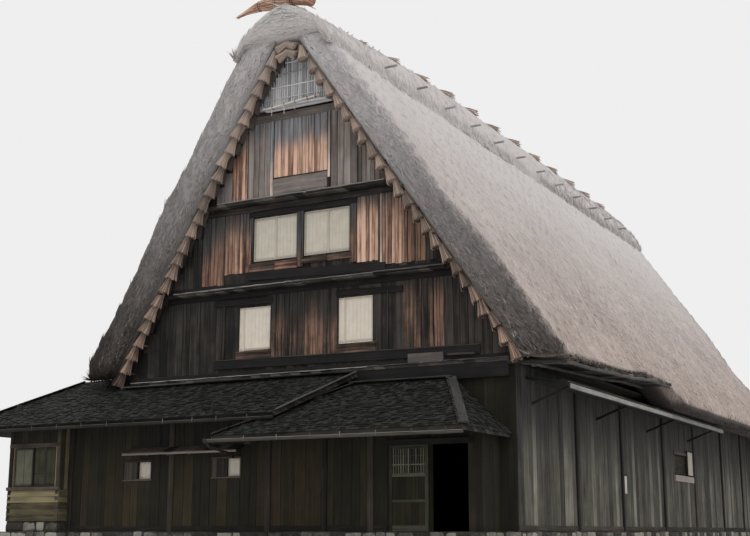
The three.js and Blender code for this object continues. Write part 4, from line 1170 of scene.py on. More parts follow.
    def add_saddle(self, y: float) -> None:
        """Adds the straw saddle that lies across the crest over a needle, and its ties.

        Args:
            y: Its place along the house.
        """
        share = np.linspace(0, 1, 7)
        ends = np.abs(share - 0.5) * 2
        height = self.top - self.sag(y) - 0.33 + 0.31 * 4 * share * (1 - share)
        middle = np.stack([self.axis + 1.26 * (share - 0.5), np.full(7, y), height], -1)
        self.ropes(middle, 0.05 - 0.022 * ends, sides=10, finish=2, tone=0.5)
        chance, many = self.rng.uniform, (self.stalks, 1)
        turn = chance(0, 2 * np.pi, many) + 0.7 * share
        paths = middle + hoop(turn, 0.046 + chance(-0.01, 0.016, many) + chance(0, 0.08, many) * ends ** 3)
        paths[..., 0] += chance(-0.1, 0.16, many) * ends ** 2 * np.sign(share - 0.5)
        self.ropes(paths, 0.008, sides=3, finish=2)
        for spot in (2, 4):
            self.ropes(middle[spot] + hoop(np.linspace(0, 2 * np.pi, 13), 0.064), 0.01, sides=5, finish=1)

    def build(self) -> None:
        """Builds the cap, then the poles through its lips and the saddles on its crest."""
        self.sow(61)
        self.add_body()
        self.add_tufts()
        self.place("straw_cap", [CAP_STRAW], "straw", stands_for=["ridge_cap"])
        first, step, number = self.needles
        places = first + step * np.arange(number)
        for y in places:
            for low, high in ((-1.79, -1.31), (1.08, 1.55)):
                self.sticks((low, y, 12.74), (high - low, 0, 0), (0, 0.07, 0), (0, 0, 0.07), sides=9, steps=3,
                            wave=0.004)
        for y in places:
            self.add_saddle(y)
        self.place("ridge_needles", [CAP_POLE, STRAW_ROPE, SADDLE_STRAW], "straw", stands_for=["ridge_cap"])


@dataclass
class RidgeRoll(Piece):
    """The straw roll tied across the front end of the ridge.

    Attributes:
        line: Three points of its arched middle, as places across the house and heights.
        spot: Its place along the house.
        strands: Number of straw strands.
        ties: Shares of its length where ropes hold it.
    """

    line: tuple[Pair, ...] = ((-1.56, 13.62), (-0.42, 13.98), (0.72, 13.6))
    spot: float = -1.1
    strands: int = 380
    ties: Triple = (0.3, 0.52, 0.74)

    def middle(self, share: Array) -> Array:
        """Returns points on the roll's middle at shares of its length."""
        (a, b, c), t = [np.array([x, self.spot, z]) for x, z in self.line], share[..., None]
        return a * (1 - t) ** 2 + b * 2 * t * (1 - t) + c * t * t

    def thickness(self, share: Array | float) -> Array | float:
        """Returns the roll's radius at shares of its length: thin at its left tip, full at its right end."""
        waist = sum(0.025 * np.exp(-((share - tie) / 0.035) ** 2) for tie in self.ties)
        return 0.035 + 0.13 * smooth_step(share, 0.0, 0.42) - waist + 0.02 * smooth_step(share, 0.85, 1.0)

    def build(self) -> None:
        """Builds the core, the strands and the ties."""
        self.sow(71)
        chance, many = self.rng.uniform, (self.strands, 1)
        share = np.linspace(0, 1, 22)
        self.ropes(self.middle(share), self.thickness(share) * 0.86, sides=12, tone=0.2)
        start = chance(-0.04, 0.75, many)
        place = start + chance(0.16, 0.34, many) * np.linspace(0, 1, 7)
        turn = chance(0, 2 * np.pi, many) + place * 1.6
        radius = self.thickness(np.clip(place, 0, 1)) * chance(0.88, 1.08, many)
        radius = radius * (1 + 0.35 * smooth_step(place, 0.93, 1.1))
        self.ropes(self.middle(place) + hoop(turn, radius), 0.009, sides=4)
        ring = np.linspace(0, 2 * np.pi, 17)
        for tie in self.ties:
            for shift in (-0.012, 0.012):
                self.ropes(self.middle(0 * ring + tie + shift) + hoop(ring, self.thickness(tie) + 0.018),
                           0.011, finish=1)
        self.place("ridge_roll_straw", [RED_STRAW, STRAW_ROPE], "straw", stands_for=["ridge_roll"])


@dataclass
class VergeReeds(Piece):
    """Reed bundles stepped up the inner edge of one verge, with the cut ends down.

    Attributes:
        side: Left or right of the gable, seen from outside the front.
        steps: Number of steps up the verge.
        stalks: Reeds drawn in a bundle of the front row.
        slim: Radius of a bundle's tied end.
        bridge: Heights of the bundles that bridge the top.
    """

    side: Side
    steps: int = 24
    stalks: int = 46
    slim: float = 0.07
    bridge: Pair = (12.28, 12.5)

    def add_bundle(self, butt: Array, neck: Array, wide: float, stalks: int, finish: int = 0) -> None:
        """Adds one flared bundle.

        Args:
            butt: Middle of its cut end.
            neck: Middle of its tied end.
            wide: Radius of the cut end.
            stalks: Number of reeds drawn round it.
            finish: Which of the mesh's materials it takes.
        """
        shade = self.rng.uniform(0.35, 0.75)
        share = np.array([0.02, 0.12, 0.35, 0.7, 1.0])
        flare = self.slim + (wide - self.slim) * (1 - share) ** 1.3
        self.ropes(butt + (neck - butt) * share[:, None], flare * 0.93, sides=10, finish=finish,
                   tone=shade * 0.7)
        axis = unit(neck - butt)
        one = unit(np.cross(axis, [0.1, 0.9, 0.2]))
        two = np.cross(axis, one)
        turn = self.rng.uniform(0, 2 * np.pi, stalks)
        size = np.sqrt(self.rng.uniform(0.8, 1.0, stalks))
        s = np.array([0.0, 0.3, 0.65, 1.0])
        radius = (self.slim + (wide - self.slim) * (1 - s) ** 1.3)[None] * size[:, None]
        run = s[None] - self.rng.uniform(-0.03, 0.06, (stalks, 1)) * (1 - s)[None]
        ring = one * np.cos(turn)[:, None] + two * np.sin(turn)[:, None]
        paths = butt + (neck - butt) * run[..., None] + ring[:, None] * radius[..., None]
        tone = np.clip(shade + self.rng.normal(0, 0.14, stalks), 0, 1)
        self.ropes(paths, np.linspace(0.0095, 0.006, 4), sides=4, finish=finish, tone=tone)

    def add_step(self, low: float, rise: float) -> None:
        """Adds the bundles of one step, from the verge's face back to the wall.

        Args:
            low: Height of their cut ends.
            rise: Height of a step.
        """
        wall = GABLE_FACE[max(int(np.searchsorted(LEVELS, low + 0.1) - 1), 0)]
        front, high = verge_y(low) + 0.13, low + rise * 1.15
        rank = max(2, int(round((wall - front) / 0.26)))
        for row, y in enumerate(np.linspace(front, wall - 0.1, rank)):
            rear = min(row, 1)
            lean = self.rng.normal(0, (0.03, 0.02, 0.02))
            butt = np.array([inner_x(low) - 0.2 + 0.1 * rear, y, low + 0.06 * rear]) + lean
            neck = np.array([inner_x(high) - 0.1 + 0.1 * rear, y + self.rng.normal(0.03, 0.015), high])
            for spot in (butt, neck):
                spot[0] = max(spot[0], 0.08) * self.side.value
            # Back rows take the darker reed: painted shade behind the front row.
            self.add_bundle(butt, neck, self.rng.uniform(0.145, 0.165) - 0.02 * rear,
                            15 if row else self.stalks, 2 * rear)

    def build(self) -> None:
        """Builds every bundle of this verge, and the rafter poles behind them, in the place of its node."""
        self.sow(80 + self.side.value + 5 * self.turned)
        rise = (INNER_APEX - 0.2 - REED_FOOT) / self.steps
        for step in range(self.steps):
            self.add_step(REED_FOOT + step * rise, rise)
        for z in self.bridge if self.side is Side.RIGHT else ():
            spot = np.array([0.0, verge_y(z) + 0.12, z])
            for side in (-1, 1):
                self.add_bundle(spot + [0.27 * side, 0, -0.13], spot + [-0.04 * side, 0, 0.03], 0.12,
                                self.stalks)
        zs = np.linspace(REED_FOOT + 0.05, INNER_APEX + 0.35, 24)
        for depth in (0.16, 0.36):
            path = np.stack([(inner_x(zs) + 0.05) * self.side.value, verge_y(zs) + depth, zs], -1)
            self.ropes(path + self.rng.normal(0, 0.006, path.shape), 0.06, sides=8, finish=1)
        label = f"{self.end}_{Side(-self.side.value if self.turned else self.side.value).name.lower()}"
        self.place(f"reed_bundles_{label}", [REED, VERGE_POLE, REED_SHADE], "reed",
                   stands_for=[f"verge_reeds_{label}"])


@dataclass
class PurlinEnds(Piece):
    """Pale ends of the purlins that show on a gable's verges.

    Attributes:
        places: Their places across the house and heights.
        radius: Radius of each pole.
    """

    places: tuple[Pair, ...] = (
        (0.97, 11.83), (1.30, 11.24), (1.73, 10.62), (2.09, 9.85), (2.48, 9.05), (2.88, 8.39),
        (3.29, 7.79), (3.66, 7.12), (4.02, 6.42), (4.39, 5.75), (4.76, 5.11), (5.20, 4.39),
    )
    radius: float = 0.034

    def build(self) -> None:
        """Builds the pole ends."""
        self.sow(91 + self.turned)
        for side in (-1, 1):
            for x, z in self.places:
                size = 2 * self.radius * self.rng.uniform(0.6, 1.0)
                start = (side * (x + 0.25), verge_y(z) + self.rng.uniform(0.0, 0.06), z)
                along = (self.rng.normal(0, 0.01), 0.4, self.rng.normal(0, 0.01))
                self.sticks(start, along, (size, 0, 0), (0, 0, size), sides=9, steps=2, wave=0.003)
        self.place(f"purlin_ends_{self.end}", [RAFTER_POLE], "reed")


class Timber(Enum):
    """Weathering of a board, as its place in TIMBERS."""

    ORANGE = 0
    RED = 1
    GREY = 2
    DARK = 3
    BARE = 4
    BLACK = 5


TIMBERS = (ORANGE_BOARD, RED_BOARD, GREY_BOARD, DARK_BOARD, BARE_BOARD, BLACK_BOARD)


@dataclass(frozen=True)
class BoardRun:
    """Upright boards side by side on a gable.

    Attributes:
        edges: Joints between the boards, across the house.
        timber: Their weathering.
        foot: Height of their lower ends.
        head: Height of their upper ends.
        veil: Shares of the height between which sooty stain and painted shade darken them.
        proud: Thickness.
        tone: Lightness of its boards.
    """

    edges: tuple[float, ...]
    timber: Timber
    foot: float
    head: float
    veil: Pair = (0.35, 0.85)
    proud: float = 0.022
    tone: float = 0.5


@dataclass(frozen=True)
class Rail:
    """A level or sloping timber on a gable.

    Attributes:
        start: Place across the house and height of its middle, at its left end.
        end: The same at its right end.
        height: Its height.
        proud: How far it stands out of the wall.
        timber: Its weathering.
        tone: Its lightness.
    """

    start: Pair
    end: Pair
    height: float
    proud: float
    timber: Timber
    tone: float = 0.5


LOW_RUNS = (
    BoardRun((-5.75, -5.38, -5.05, -4.67, -4.4, -4.12), Timber.DARK, 4.14, 6.33, tone=0.3),
    BoardRun((-4.12, -3.9, -3.66, -3.42, -3.33, -3.08, -2.8), Timber.DARK, 4.14, 6.33, (0.5, 1.0), tone=0.55),
    BoardRun((-1.08, -0.9, -0.66, -0.5, -0.27, -0.05, 0.12, 0.34, 0.5, 0.72, 0.92), Timber.RED, 4.5, 6.33,
             (0.35, 0.9)),
    BoardRun((2.76, 2.95, 3.12, 3.27, 3.44, 3.58), Timber.RED, 4.4, 6.33, (0.5, 1.1)),
    BoardRun((3.6, 3.68, 3.76, 3.87), Timber.RED, 4.4, 6.33, (0.4, 1.1), tone=0.8),
    BoardRun((3.92, 4.12, 4.28, 4.5, 4.66, 4.86, 5.1, 5.4, 5.75), Timber.DARK, 4.14, 6.33, (0.8, 1.6),
             tone=0.7),
)
LOW_RAILS = (
    Rail((-2.8, 4.46), (4.8, 4.365), 0.23, 0.06, Timber.BLACK),
    Rail((-2.8, 4.575), (4.8, 4.48), 0.03, 0.07, Timber.DARK, 0.8),
    Rail((-5.7, 4.19), (5.7, 4.17), 0.14, 0.04, Timber.BLACK),
    Rail((-2.12, 4.675), (-1.05, 4.675), 0.2, 0.07, Timber.RED, 0.35),
    Rail((0.9, 4.64), (2.02, 4.63), 0.23, 0.07, Timber.RED, 0.45),
    Rail((-2.84, 6.1), (-1.02, 6.06), 0.17, 0.05, Timber.BLACK),
    Rail((0.9, 6.05), (2.76, 6.0), 0.15, 0.05, Timber.BLACK),
    Rail((-5.6, 6.27), (5.6, 6.27), 0.14, 0.05, Timber.BLACK),
    Rail((2.93, 4.26), (3.86, 4.25), 0.22, 0.1, Timber.GREY, 0.15),
    Rail((3.99, 4.29), (4.68, 4.27), 0.05, 0.12, Timber.DARK, 0.9),
)
MIDDLE_RUNS = (
    BoardRun((-4.4, -4.05, -3.75, -3.45, -3.16), Timber.DARK, 6.5, 8.58),
    BoardRun((-3.16, -3.03, -2.9), Timber.ORANGE, 6.55, 8.58, (0.1, 0.7), tone=0.22),
    BoardRun((-2.9, -2.78, -2.66, -2.55, -2.44), Timber.RED, 6.55, 8.58, (0.25, 0.9), tone=0.85),
    BoardRun((-2.44, -2.31, -2.2, -2.12, -1.96, -1.86, -1.77, -1.67, -1.57), Timber.ORANGE, 6.82, 8.58,
             (0.3, 1.0), tone=0.42),
    BoardRun((1.59, 1.7, 1.85, 1.94, 2.02, 2.1, 2.19), Timber.ORANGE, 6.74, 8.58, (0.55, 0.98), tone=0.72),
    BoardRun((2.24, 2.3), Timber.BARE, 6.6, 8.58, (0.5, 1.2), 0.03),
    BoardRun((2.3, 2.38, 2.46, 2.56, 2.66, 2.75, 2.84, 2.92), Timber.ORANGE, 6.6, 8.58, (0.5, 1.1)),
    BoardRun((2.92, 3.0, 3.1, 3.22, 3.36, 3.5), Timber.RED, 6.6, 8.58, (0.4, 1.0), tone=0.8),
    BoardRun((3.5, 3.7, 3.9, 4.1, 4.35), Timber.DARK, 6.6, 8.58, (0.5, 1.2), tone=0.6),
    BoardRun((-1.6, -1.53), Timber.DARK, 6.8, 8.4, (0.2, 0.6), 0.05),
    BoardRun((-0.19, 0.01), Timber.RED, 6.8, 8.4, (0.1, 0.6), 0.045, 0.7),
    BoardRun((1.4, 1.58), Timber.RED, 6.74, 8.4, (0.3, 0.9), 0.045, 0.7),
)
MIDDLE_RAILS = (
    Rail((-1.66, 6.7), (2.4, 6.55), 0.23, 0.06, Timber.BLACK),
    Rail((-4.2, 6.5), (4.2, 6.47), 0.1, 0.04, Timber.BLACK),
    Rail((-1.62, 6.91), (-0.84, 6.91), 0.22, 0.06, Timber.RED, 0.4),
    Rail((-0.83, 6.9), (-0.16, 6.9), 0.22, 0.065, Timber.ORANGE, 0.2),
    Rail((-0.02, 6.95), (0.74, 6.95), 0.15, 0.06, Timber.RED, 0.4),
    Rail((0.75, 6.95), (1.44, 6.95), 0.15, 0.065, Timber.RED, 0.45),
    Rail((-1.66, 8.33), (1.6, 8.33), 0.14, 0.05, Timber.BLACK),
    Rail((-4.1, 8.5), (4.1, 8.5), 0.16, 0.055, Timber.DARK),
)
HIGH_RUNS = (
    BoardRun((-2.85, -2.6, -2.36, -2.11), Timber.GREY, 8.7, 10.9, (0.6, 1.1), tone=0.2),
    BoardRun((-2.11, -2.0, -1.9, -1.8, -1.7, -1.62), Timber.ORANGE, 8.7, 10.9, (0.4, 0.9), tone=0.42),
    BoardRun((-1.6, -1.43, -1.26, -1.09, -0.92), Timber.GREY, 8.7, 10.9, (0.5, 0.95)),
    BoardRun((-0.91, -0.81), Timber.BARE, 8.7, 10.9, (0.15, 0.55), 0.03, 0.55),
    BoardRun((-0.8, -0.69, -0.58, -0.47, -0.36, -0.21, -0.07, 0.07, 0.17, 0.26, 0.35, 0.44, 0.53, 0.61, 0.71,
              0.82),
             Timber.ORANGE, 9.17, 10.93, (0.42, 0.75), tone=0.82),
    BoardRun((0.83, 0.91), Timber.BARE, 9.0, 10.9, (0.35, 0.9), 0.03, 0.65),
    BoardRun((0.93, 1.12, 1.32, 1.51, 1.7), Timber.GREY, 8.7, 10.9, (0.6, 1.1), tone=0.6),
    BoardRun((1.73, 1.84, 1.96, 2.08, 2.2, 2.35, 2.5, 2.67, 2.85), Timber.GREY, 8.7, 10.9, (0.5, 1.1),
             tone=0.35),
)
HIGH_RAILS = (
    Rail((-0.8, 8.955), (0.82, 8.955), 0.43, 0.035, Timber.GREY, 0.45),
    Rail((-0.8, 9.18), (0.82, 9.18), 0.03, 0.05, Timber.DARK, 0.8),
    Rail((-1.9, 10.86), (1.9, 10.86), 0.2, 0.05, Timber.GREY, 0.25),
)


@dataclass
class GableStorey(Piece):
    """The boards, rails and posts of one storey of a gable.

    Attributes:
        name: Which storey it is.
        number: Its place among the levels.
        runs: Its upright boards.
        rails: Its level timbers.
        soot_and_shade: Colour that darkens its boards towards the top: sooty stain, and painted shade under
            the ledge or eave above.
        poles: Round poles against the wall: place across the house, foot, head and thickness.
    """

    name: str
    number: int
    runs: tuple[BoardRun, ...]
    rails: tuple[Rail, ...]
    soot_and_shade: Colour
    poles: tuple[Opening, ...] = ()

    def add_run(self, run: BoardRun) -> None:
        """Adds the boards of one run, each a little different and cut off under the thatch.

        Args:
            run: The boards.
        """
        chance, normal = self.rng.uniform, self.rng.normal
        level = LEVELS[self.number]
        veil = level + np.array(run.veil) * (LEVELS[self.number + 1] - level)
        for left, right in pairwise(run.edges):
            thatch = INNER_APEX - (max(abs(left), abs(right)) - REED_DEPTH) / INNER_SLOPE - 0.04
            high = min(run.head, thatch) - run.foot
            rise = chance(-0.012, 0.02)
            if high - rise < 0.1:
                continue
            wide = right - left - chance(0.004, 0.018)
            thick = run.proud + chance(-0.004, 0.006)
            start = ((left + right) / 2, GABLE_FACE[self.number] - thick / 2 + 0.002, run.foot + rise)
            shift, along = normal(0, 0.05, 2), (normal(0, 0.004), 0, high - rise)
            tone = np.clip(run.tone + normal(0, 0.16), 0, 1)
            self.sticks(start, along, (wide, 0, 0), (0, -thick, 0), bevel=0.006, steps=6, bow=0.006,
                        wave=0.0022, finish=run.timber.value, tone=tone, veil=veil + shift)

    def add_rail(self, rail: Rail) -> None:
        """Adds one level timber, no longer than the gable is wide there.

        Args:
            rail: The timber.
        """
        (x0, z0), (x1, z1) = rail.start, rail.end
        reach = inner_x(max(z0, z1)) + 0.12
        x0, x1 = max(x0, -reach), min(x1, reach)
        self.sticks((x0, GABLE_FACE[self.number] - rail.proud / 2, z0), (x1 - x0, 0, z1 - z0),
                    (0, 0, rail.height),
                    (0, -rail.proud, 0), bevel=0.007, steps=max(2, int(abs(x1 - x0) / 0.4)), wave=0.004,
                    finish=rail.timber.value, tone=rail.tone)

    def build(self) -> None:
        """Builds the storey's boards, rails and poles."""
        self.sow(100 + 7 * self.number + self.turned)
        for run in self.runs:
            self.add_run(run)
        for rail in self.rails:
            self.add_rail(rail)
        for x, foot, head, size in self.poles:
            self.sticks((x, -0.07, foot), (0.01, 0, head - foot), (size, 0, 0), (0, size, 0), sides=9,
                        steps=4, wave=0.003, finish=Timber.DARK.value, tone=0.8, veil=(4.4, 6.6))
        # Each storey's boards darken towards the top with its own colour: sooty stain and painted shade under
        # the ledge above.
        finishes = [replace(finish, name=f"{finish.name}_{self.name}", veil=self.soot_and_shade) for finish in TIMBERS]
        self.place(f"gable_boards_{self.end}_{self.name}", finishes, "gable_board")


@dataclass
class PaperWindow(Piece):
    """A window of paper panes in thin frames, in a hole of a wall that faces the front or the back.

    Attributes:
        node: The node that it replaces.
        joints: Edges of its panes across the house, from left to right.
        foot: Height of its lower edge.
        head: Height of its upper edge.
        face: Outer face of the sash.
        paper: Finish of the paper.
        sash: Finish of the frames.
        ribs: Distance between the ribs that show through the paper.
        cross: Heights of level muntins.
        stile: Width of the frames.
        first_paper: Finish of the first pane's paper, or nothing where it is like the rest.
    """

    node: str
    joints: tuple[float, ...]
    foot: float
    head: float
    face: float
    paper: Finish = PAPER
    sash: Finish = PAPER
    ribs: float = 0.115
    cross: tuple[float, ...] = ()
    stile: float = 0.022
    first_paper: Finish | None = None

    def add_pane(self, left: float, right: float, plain: bool) -> None:
        """Adds one pane: its paper, frame and ribs.

        Args:
            left: Its left edge.
            right: Its right edge.
            plain: Whether it has the first pane's paper and no muntins.
        """
        low, high = self.foot + 0.004, self.head - 0.004
        face, edge = self.face, self.stile
        xs, zs = np.linspace(left + edge, right - edge, 12), np.linspace(low + edge, high - edge, 14)
        points, faces = lattice(xs, np.array([face + 0.008, face + 0.014]), zs)
        points[:, 1] += 0.0016 * ripple(points, 0.35, int(self.rng.integers(1000)))
        self.solids(points[None], faces, points[:, [0, 2, 1]] + 3.0, 0.6, 3 if plain else 0, soft=True)
        for x in (left, right - edge):
            self.bar((x, face, low), (x + edge, face + 0.03, high), 2, 0.003, finish=1, tone=0.5)
        for z in (low, high - edge):
            self.bar((left + edge, face + 0.002, z), (right - edge, face + 0.028, z + edge), 0, 0.003,
                     finish=1, tone=0.45)
        count = max(1, int(round((right - left) / self.ribs)) - 1)
        for x in np.linspace(left + edge, right - edge, count + 2)[1:-1]:
            self.bar((x - 0.005, face + 0.005, low + edge), (x + 0.005, face + 0.009, high - edge), 2, 0.001,
                     finish=1, tone=0.3)
        for z in () if plain else self.cross:
            self.bar((left + edge, face + 0.001, z - 0.01), (right - edge, face + 0.012, z + 0.01), 0, 0.002,
                     finish=1, tone=0.3)

    def build(self) -> None:
        """Builds the window in the place of its node."""
        self.sow(len(self.node) * 31 + int(self.foot * 100))
        for left, right in pairwise(self.joints):
            plain = self.first_paper is not None and left == self.joints[0]
            self.add_pane(left + 0.003, right - 0.003, plain)
        # Black sheet behind the panes, seen through the joints between them: painted shade of the dark
        # inside.
        self.bar((self.joints[0], self.face + 0.032, self.foot),
                 (self.joints[-1], self.face + 0.039, self.head), 2, 0.001, finish=2)
        first = [self.first_paper] if self.first_paper else []
        self.place(self.node.replace("window", "pane"), [self.paper, self.sash, BLACK_BOARD, *first], "paper",
                   stands_for=[self.node])


@dataclass
class GableTop(Piece):
    """The top of a gable: a ledge, a lattice of thin bars that stands on it, and a pole across its foot.

    Attributes:
        bar_step: Distance between two upright bars.
        rail_heights: Heights of the level bars.
        pole: Left end of the pole.
        pole_run: Its whole length, as a vector.
        ties: Shares of its length where it is tied and short sticks hang.
    """

    bar_step: float = 0.07
    rail_heights: tuple[float, ...] = (11.3, 11.62, 11.95, 12.25)
    pole: Triple = (-0.86, -0.77, 11.0)
    pole_run: Triple = (1.62, 0.0, 0.13)
    ties: tuple[float, ...] = (0.12, 0.34, 0.55, 0.78, 0.93)

    def add_lattice(self) -> None:
        """Adds the boards behind the lattice and its bars."""
        level, face = LEVELS[3], GABLE_FACE[3]
        for x in np.arange(-1.12, 1.13, 0.16):
            head = INNER_APEX + 0.15 - (abs(x) + 0.08 - 0.2) / INNER_SLOPE
            if head > level + 0.1:
                self.bar((x - 0.079, face + 0.03, level - 0.02), (x + 0.079, face + 0.05, head), 2, finish=1)
        for x in np.arange(-1.1, 1.11, self.bar_step):
            head = INNER_APEX + 0.1 - (abs(x) - 0.2) / INNER_SLOPE
            if head > level + 0.08:
                start = (x + self.rng.normal(0, 0.006), face + 0.012, level - 0.02)
                self.sticks(start, (0, 0, min(head, 12.7) - level), (0.024, 0, 0), (0, 0.022, 0), sides=4,
                            steps=4, wave=0.003)
        for z in self.rail_heights:
            half = max(0.03, inner_x(z) - 0.2)
            self.sticks((-half, face - 0.008, z), (2 * half, 0, self.rng.normal(0, 0.02)), (0, 0, 0.028),
                        (0, 0.02, 0), steps=4, wave=0.004)

    def add_pole(self) -> None:
        """Adds the pale pole, its ties, and the short sticks under it."""
        start, along = np.array(self.pole), np.array(self.pole_run)
        self.sticks(start, along, (0, 0, 0.06), (0, 0.06, 0), sides=9, steps=8, wave=0.004, taper=0.8,
                    finish=2, tone=0.9)
        ring = np.linspace(0, 2 * np.pi, 11)
        for share in self.ties:
            spot, drop = start + along * share, self.rng.uniform(0.12, 0.32)
            self.sticks(spot + [0, -0.02, 0.03], (self.rng.normal(0, 0.02), 0.01, -drop), (0.02, 0, 0),
                        (0, 0.02, 0), sides=7, steps=3, wave=0.004, finish=2)
            path = spot + hoop(ring, 0.042)
            path[:, 0] += 0.006 * np.sin(3 * ring)
            self.ropes(path, 0.009, finish=3)

    def build(self) -> None:
        """Builds the ledge, the lattice and the pole in the place of the top's node."""
        self.sow(131 + self.turned)
        for low, high in ((-0.745, -0.64), (-0.635, -0.5)):
            self.bar((-1.0, low, LEVELS[3] - 0.06), (1.0, high, LEVELS[3] - 0.005), steps=7, wave=0.006)
        self.add_lattice()
        self.add_pole()
        self.place(f"gable_lattice_{self.end}", [LATTICE_WOOD, LATTICE_BACK, PALE_POLE, STRAW_ROPE],
                   "gable_board", stands_for=[f"gable_top_{self.end}"])


@dataclass
class Ledges(Piece):
    """The wavy board edges that stand out over each storey of a gable, with a dark strip under each that is
    painted shade.
    """

    def build(self) -> None:
        """Builds the edge boards of the three ledges."""
        self.sow(141 + self.turned)
        chance = self.rng.uniform
        for level, reach in zip(LEVELS[:3], LEDGE_REACH):
            half = INNER_SLOPE * (INNER_APEX - level) - 0.02
            for left, right in pairwise([-half, *np.sort(chance(-half * 0.7, half * 0.7, 4)), half]):
                rise = chance(-0.008, 0.012)
                out = reach + chance(0.03, 0.06)
                wavy = {"bevel": 0.008, "steps": max(3, int((right - left) / 0.22)), "wave": 0.006}
                self.sticks((left, 0.11 - out, level + rise), (right - left - 0.006, 0, 0), (0, 0.22, 0),
                            (0, 0, chance(0.018, 0.028)), **wavy)
                # Dark strip under the edge board: painted shade under the ledge.
                self.sticks((left, 0.14 - out, level - 0.045), (right - left - 0.004, 0, 0), (0, 0.2, 0),
                            (0, 0, 0.03), finish=1, **wavy)
        self.place(f"ledge_boards_{self.end}", [LEDGE_BOARD, DARK_BOARD], "floor_board")


@dataclass(frozen=True)
class RoofPlane:
    """One flat slope of a shingled roof.

    Attributes:
        origin: A point of its eave.
        run: Unit vector along the eave.
        climb: Level unit vector up the slope.
        pitch: Rise for each metre of climb.
        depth: Level distance from the eave to the top.
        near: Start and end along the run at the eave.
        far: Start and end along the run at the top.
    """

    origin: Triple
    run: Triple
    climb: Triple
    pitch: float
    depth: float
    near: Pair
    far: Pair


@dataclass
class ShingleRoof(Piece):
    """Rows of small shingles over flat slopes.

    Attributes:
        name: The piece's name.
        planes: Its slopes.
        covers: Cover boards over hips and tops, as two ends, a width and a thickness.
        exposure: Part of each shingle that shows.
    """

    name: str
    planes: tuple[RoofPlane, ...]
    covers: tuple[tuple[Triple, Triple, float, float], ...]
    exposure: float = 0.105

    def add_plane(self, plane: RoofPlane) -> None:
        """Adds the shingles of one slope, row by row.

        Args:
            plane: The slope.
        """
        chance, run = self.rng.uniform, np.array(plane.run)
        up = unit(np.array([*plane.climb[:2], plane.pitch]))
        normal = unit(np.cross(run, up))
        normal = normal if normal[2] > 0 else -normal
        length = plane.depth * math.hypot(1, plane.pitch)
        for row in range(int(np.ceil((length + 0.03) / self.exposure))):
            place = row * self.exposure - 0.045
            share = np.clip(place / length, 0, 1)
            left, right = (near + (far - near) * share for near, far in zip(plane.near, plane.far))
            if right - left < 0.05:
                continue
            edges = left + joints_of(chance(0.07, 0.17, int((right - left) / 0.12) + 1), right - left)
            many = (len(edges) - 1, 1)
            size = np.minimum(chance(1.9, 2.4, many) * self.exposure, length - place + 0.02)
            lift = chance(0.014, 0.04, many) if row else 0.024
            thick = chance(0.009, 0.018, many)
            spot = place + self.rng.normal(0, 0.009, many)
            start = np.array(plane.origin) + run * (edges[1:] + edges[:-1])[:, None] / 2
            start = start + up * spot + normal * lift
            along = up * size - normal * (lift - 0.006) + run * self.rng.normal(0, 0.006, many)
            self.sticks(start, along, run * (np.diff(edges)[:, None] - 0.004), normal * thick, sides=4)

    def build(self) -> None:
        """Builds the shingles and the cover boards."""
        self.sow(150 + len(self.name))
        for plane in self.planes:
            self.add_plane(plane)
        for start, end, wide, thick in self.covers:
            a, b = np.array(start), np.array(end)
            side = unit(np.cross(unit(b - a), [0, 0, 1]))
            up = np.cross(side, unit(b - a))
            parts = max(1, int(np.linalg.norm(b - a) / 2.2))
            for part in range(parts):
                spot = a + (b - a) * part / parts + up * self.rng.uniform(0, 0.006)
                self.sticks(spot, (b - a) / parts * 0.998, side * wide, up * thick, bevel=0.008, steps=4,
                            wave=0.003, finish=1)
        self.place(self.name, [SHINGLE, ROOF_TRIM], "shingle")


FRONT_PLANES = (
    RoofPlane((-10.05, -2.0, 2.95), (1, 0, 0), (0, 1, 0), 0.57, 1.87, (0.0, 10.38), (1.87, 11.6)),
    RoofPlane((-8.18, -0.13, 4.016), (1, 0, 0), (0, 1, 0), 0.57, 0.53, (0.0, 2.08), (0.53, 2.08)),
    RoofPlane((-10.05, -2.0, 2.95), (0, 1, 0), (1, 0, 0), 0.57, 2.4, (0.0, 10.65), (2.4, 10.65)),
    RoofPlane((-7.65, -2.0, 4.318), (0, 1, 0), (1, 0, 0), 0.0432, 1.55, (2.4, 10.65), (2.4, 10.65)),
)
FRONT_COVERS = (
    ((-10.07, -2.02, 2.99), (-7.65, 0.4, 4.37), 0.26, 0.03),
    ((-5.6, -0.26, 4.0), (1.45, -0.26, 4.0), 0.3, 0.03),
    ((0.36, -1.98, 3.0), (1.52, -0.2, 4.02), 0.2, 0.03),
)
ENTRY_PLANES = (
    RoofPlane((-0.94, -2.6, 2.4), (1, 0, 0), (0, 1, 0), 0.55, 2.3, (0.0, 6.42), (2.43, 5.08)),
    RoofPlane((1.49, -0.3, 3.665), (1, 0, 0), (0, 1, 0), 0.55, 0.17, (0.0, 2.65), (0.0, 2.65)),
    RoofPlane((-0.94, -2.6, 2.4), (0, 1, 0), (1, 0, 0), 0.5206, 1.6588, (0.0, 1.57), (1.57, 1.57)),
    RoofPlane((5.48, -2.6, 2.4), (0, 1, 0), (-1, 0, 0), 0.944, 1.34, (0.0, 2.6), (2.3, 2.6)),
)
ENTRY_COVERS = (
    ((-0.97, -2.63, 2.44), (1.5, -0.29, 3.73), 0.24, 0.035),
    ((5.5, -2.63, 2.44), (4.14, -0.3, 3.73), 0.24, 0.035),
    ((1.45, -0.27, 3.74), (4.2, -0.27, 3.74), 0.26, 0.035),
)
BACK_PLANES = (RoofPlane((-6.9, -2.0, 2.95), (1, 0, 0), (0, 1, 0), 0.57, 1.87, (0.0, 13.8), (0.0, 13.8)),)
BACK_COVERS = (((-6.4, -0.24, 4.01), (6.4, -0.24, 4.01), 0.3, 0.03),)


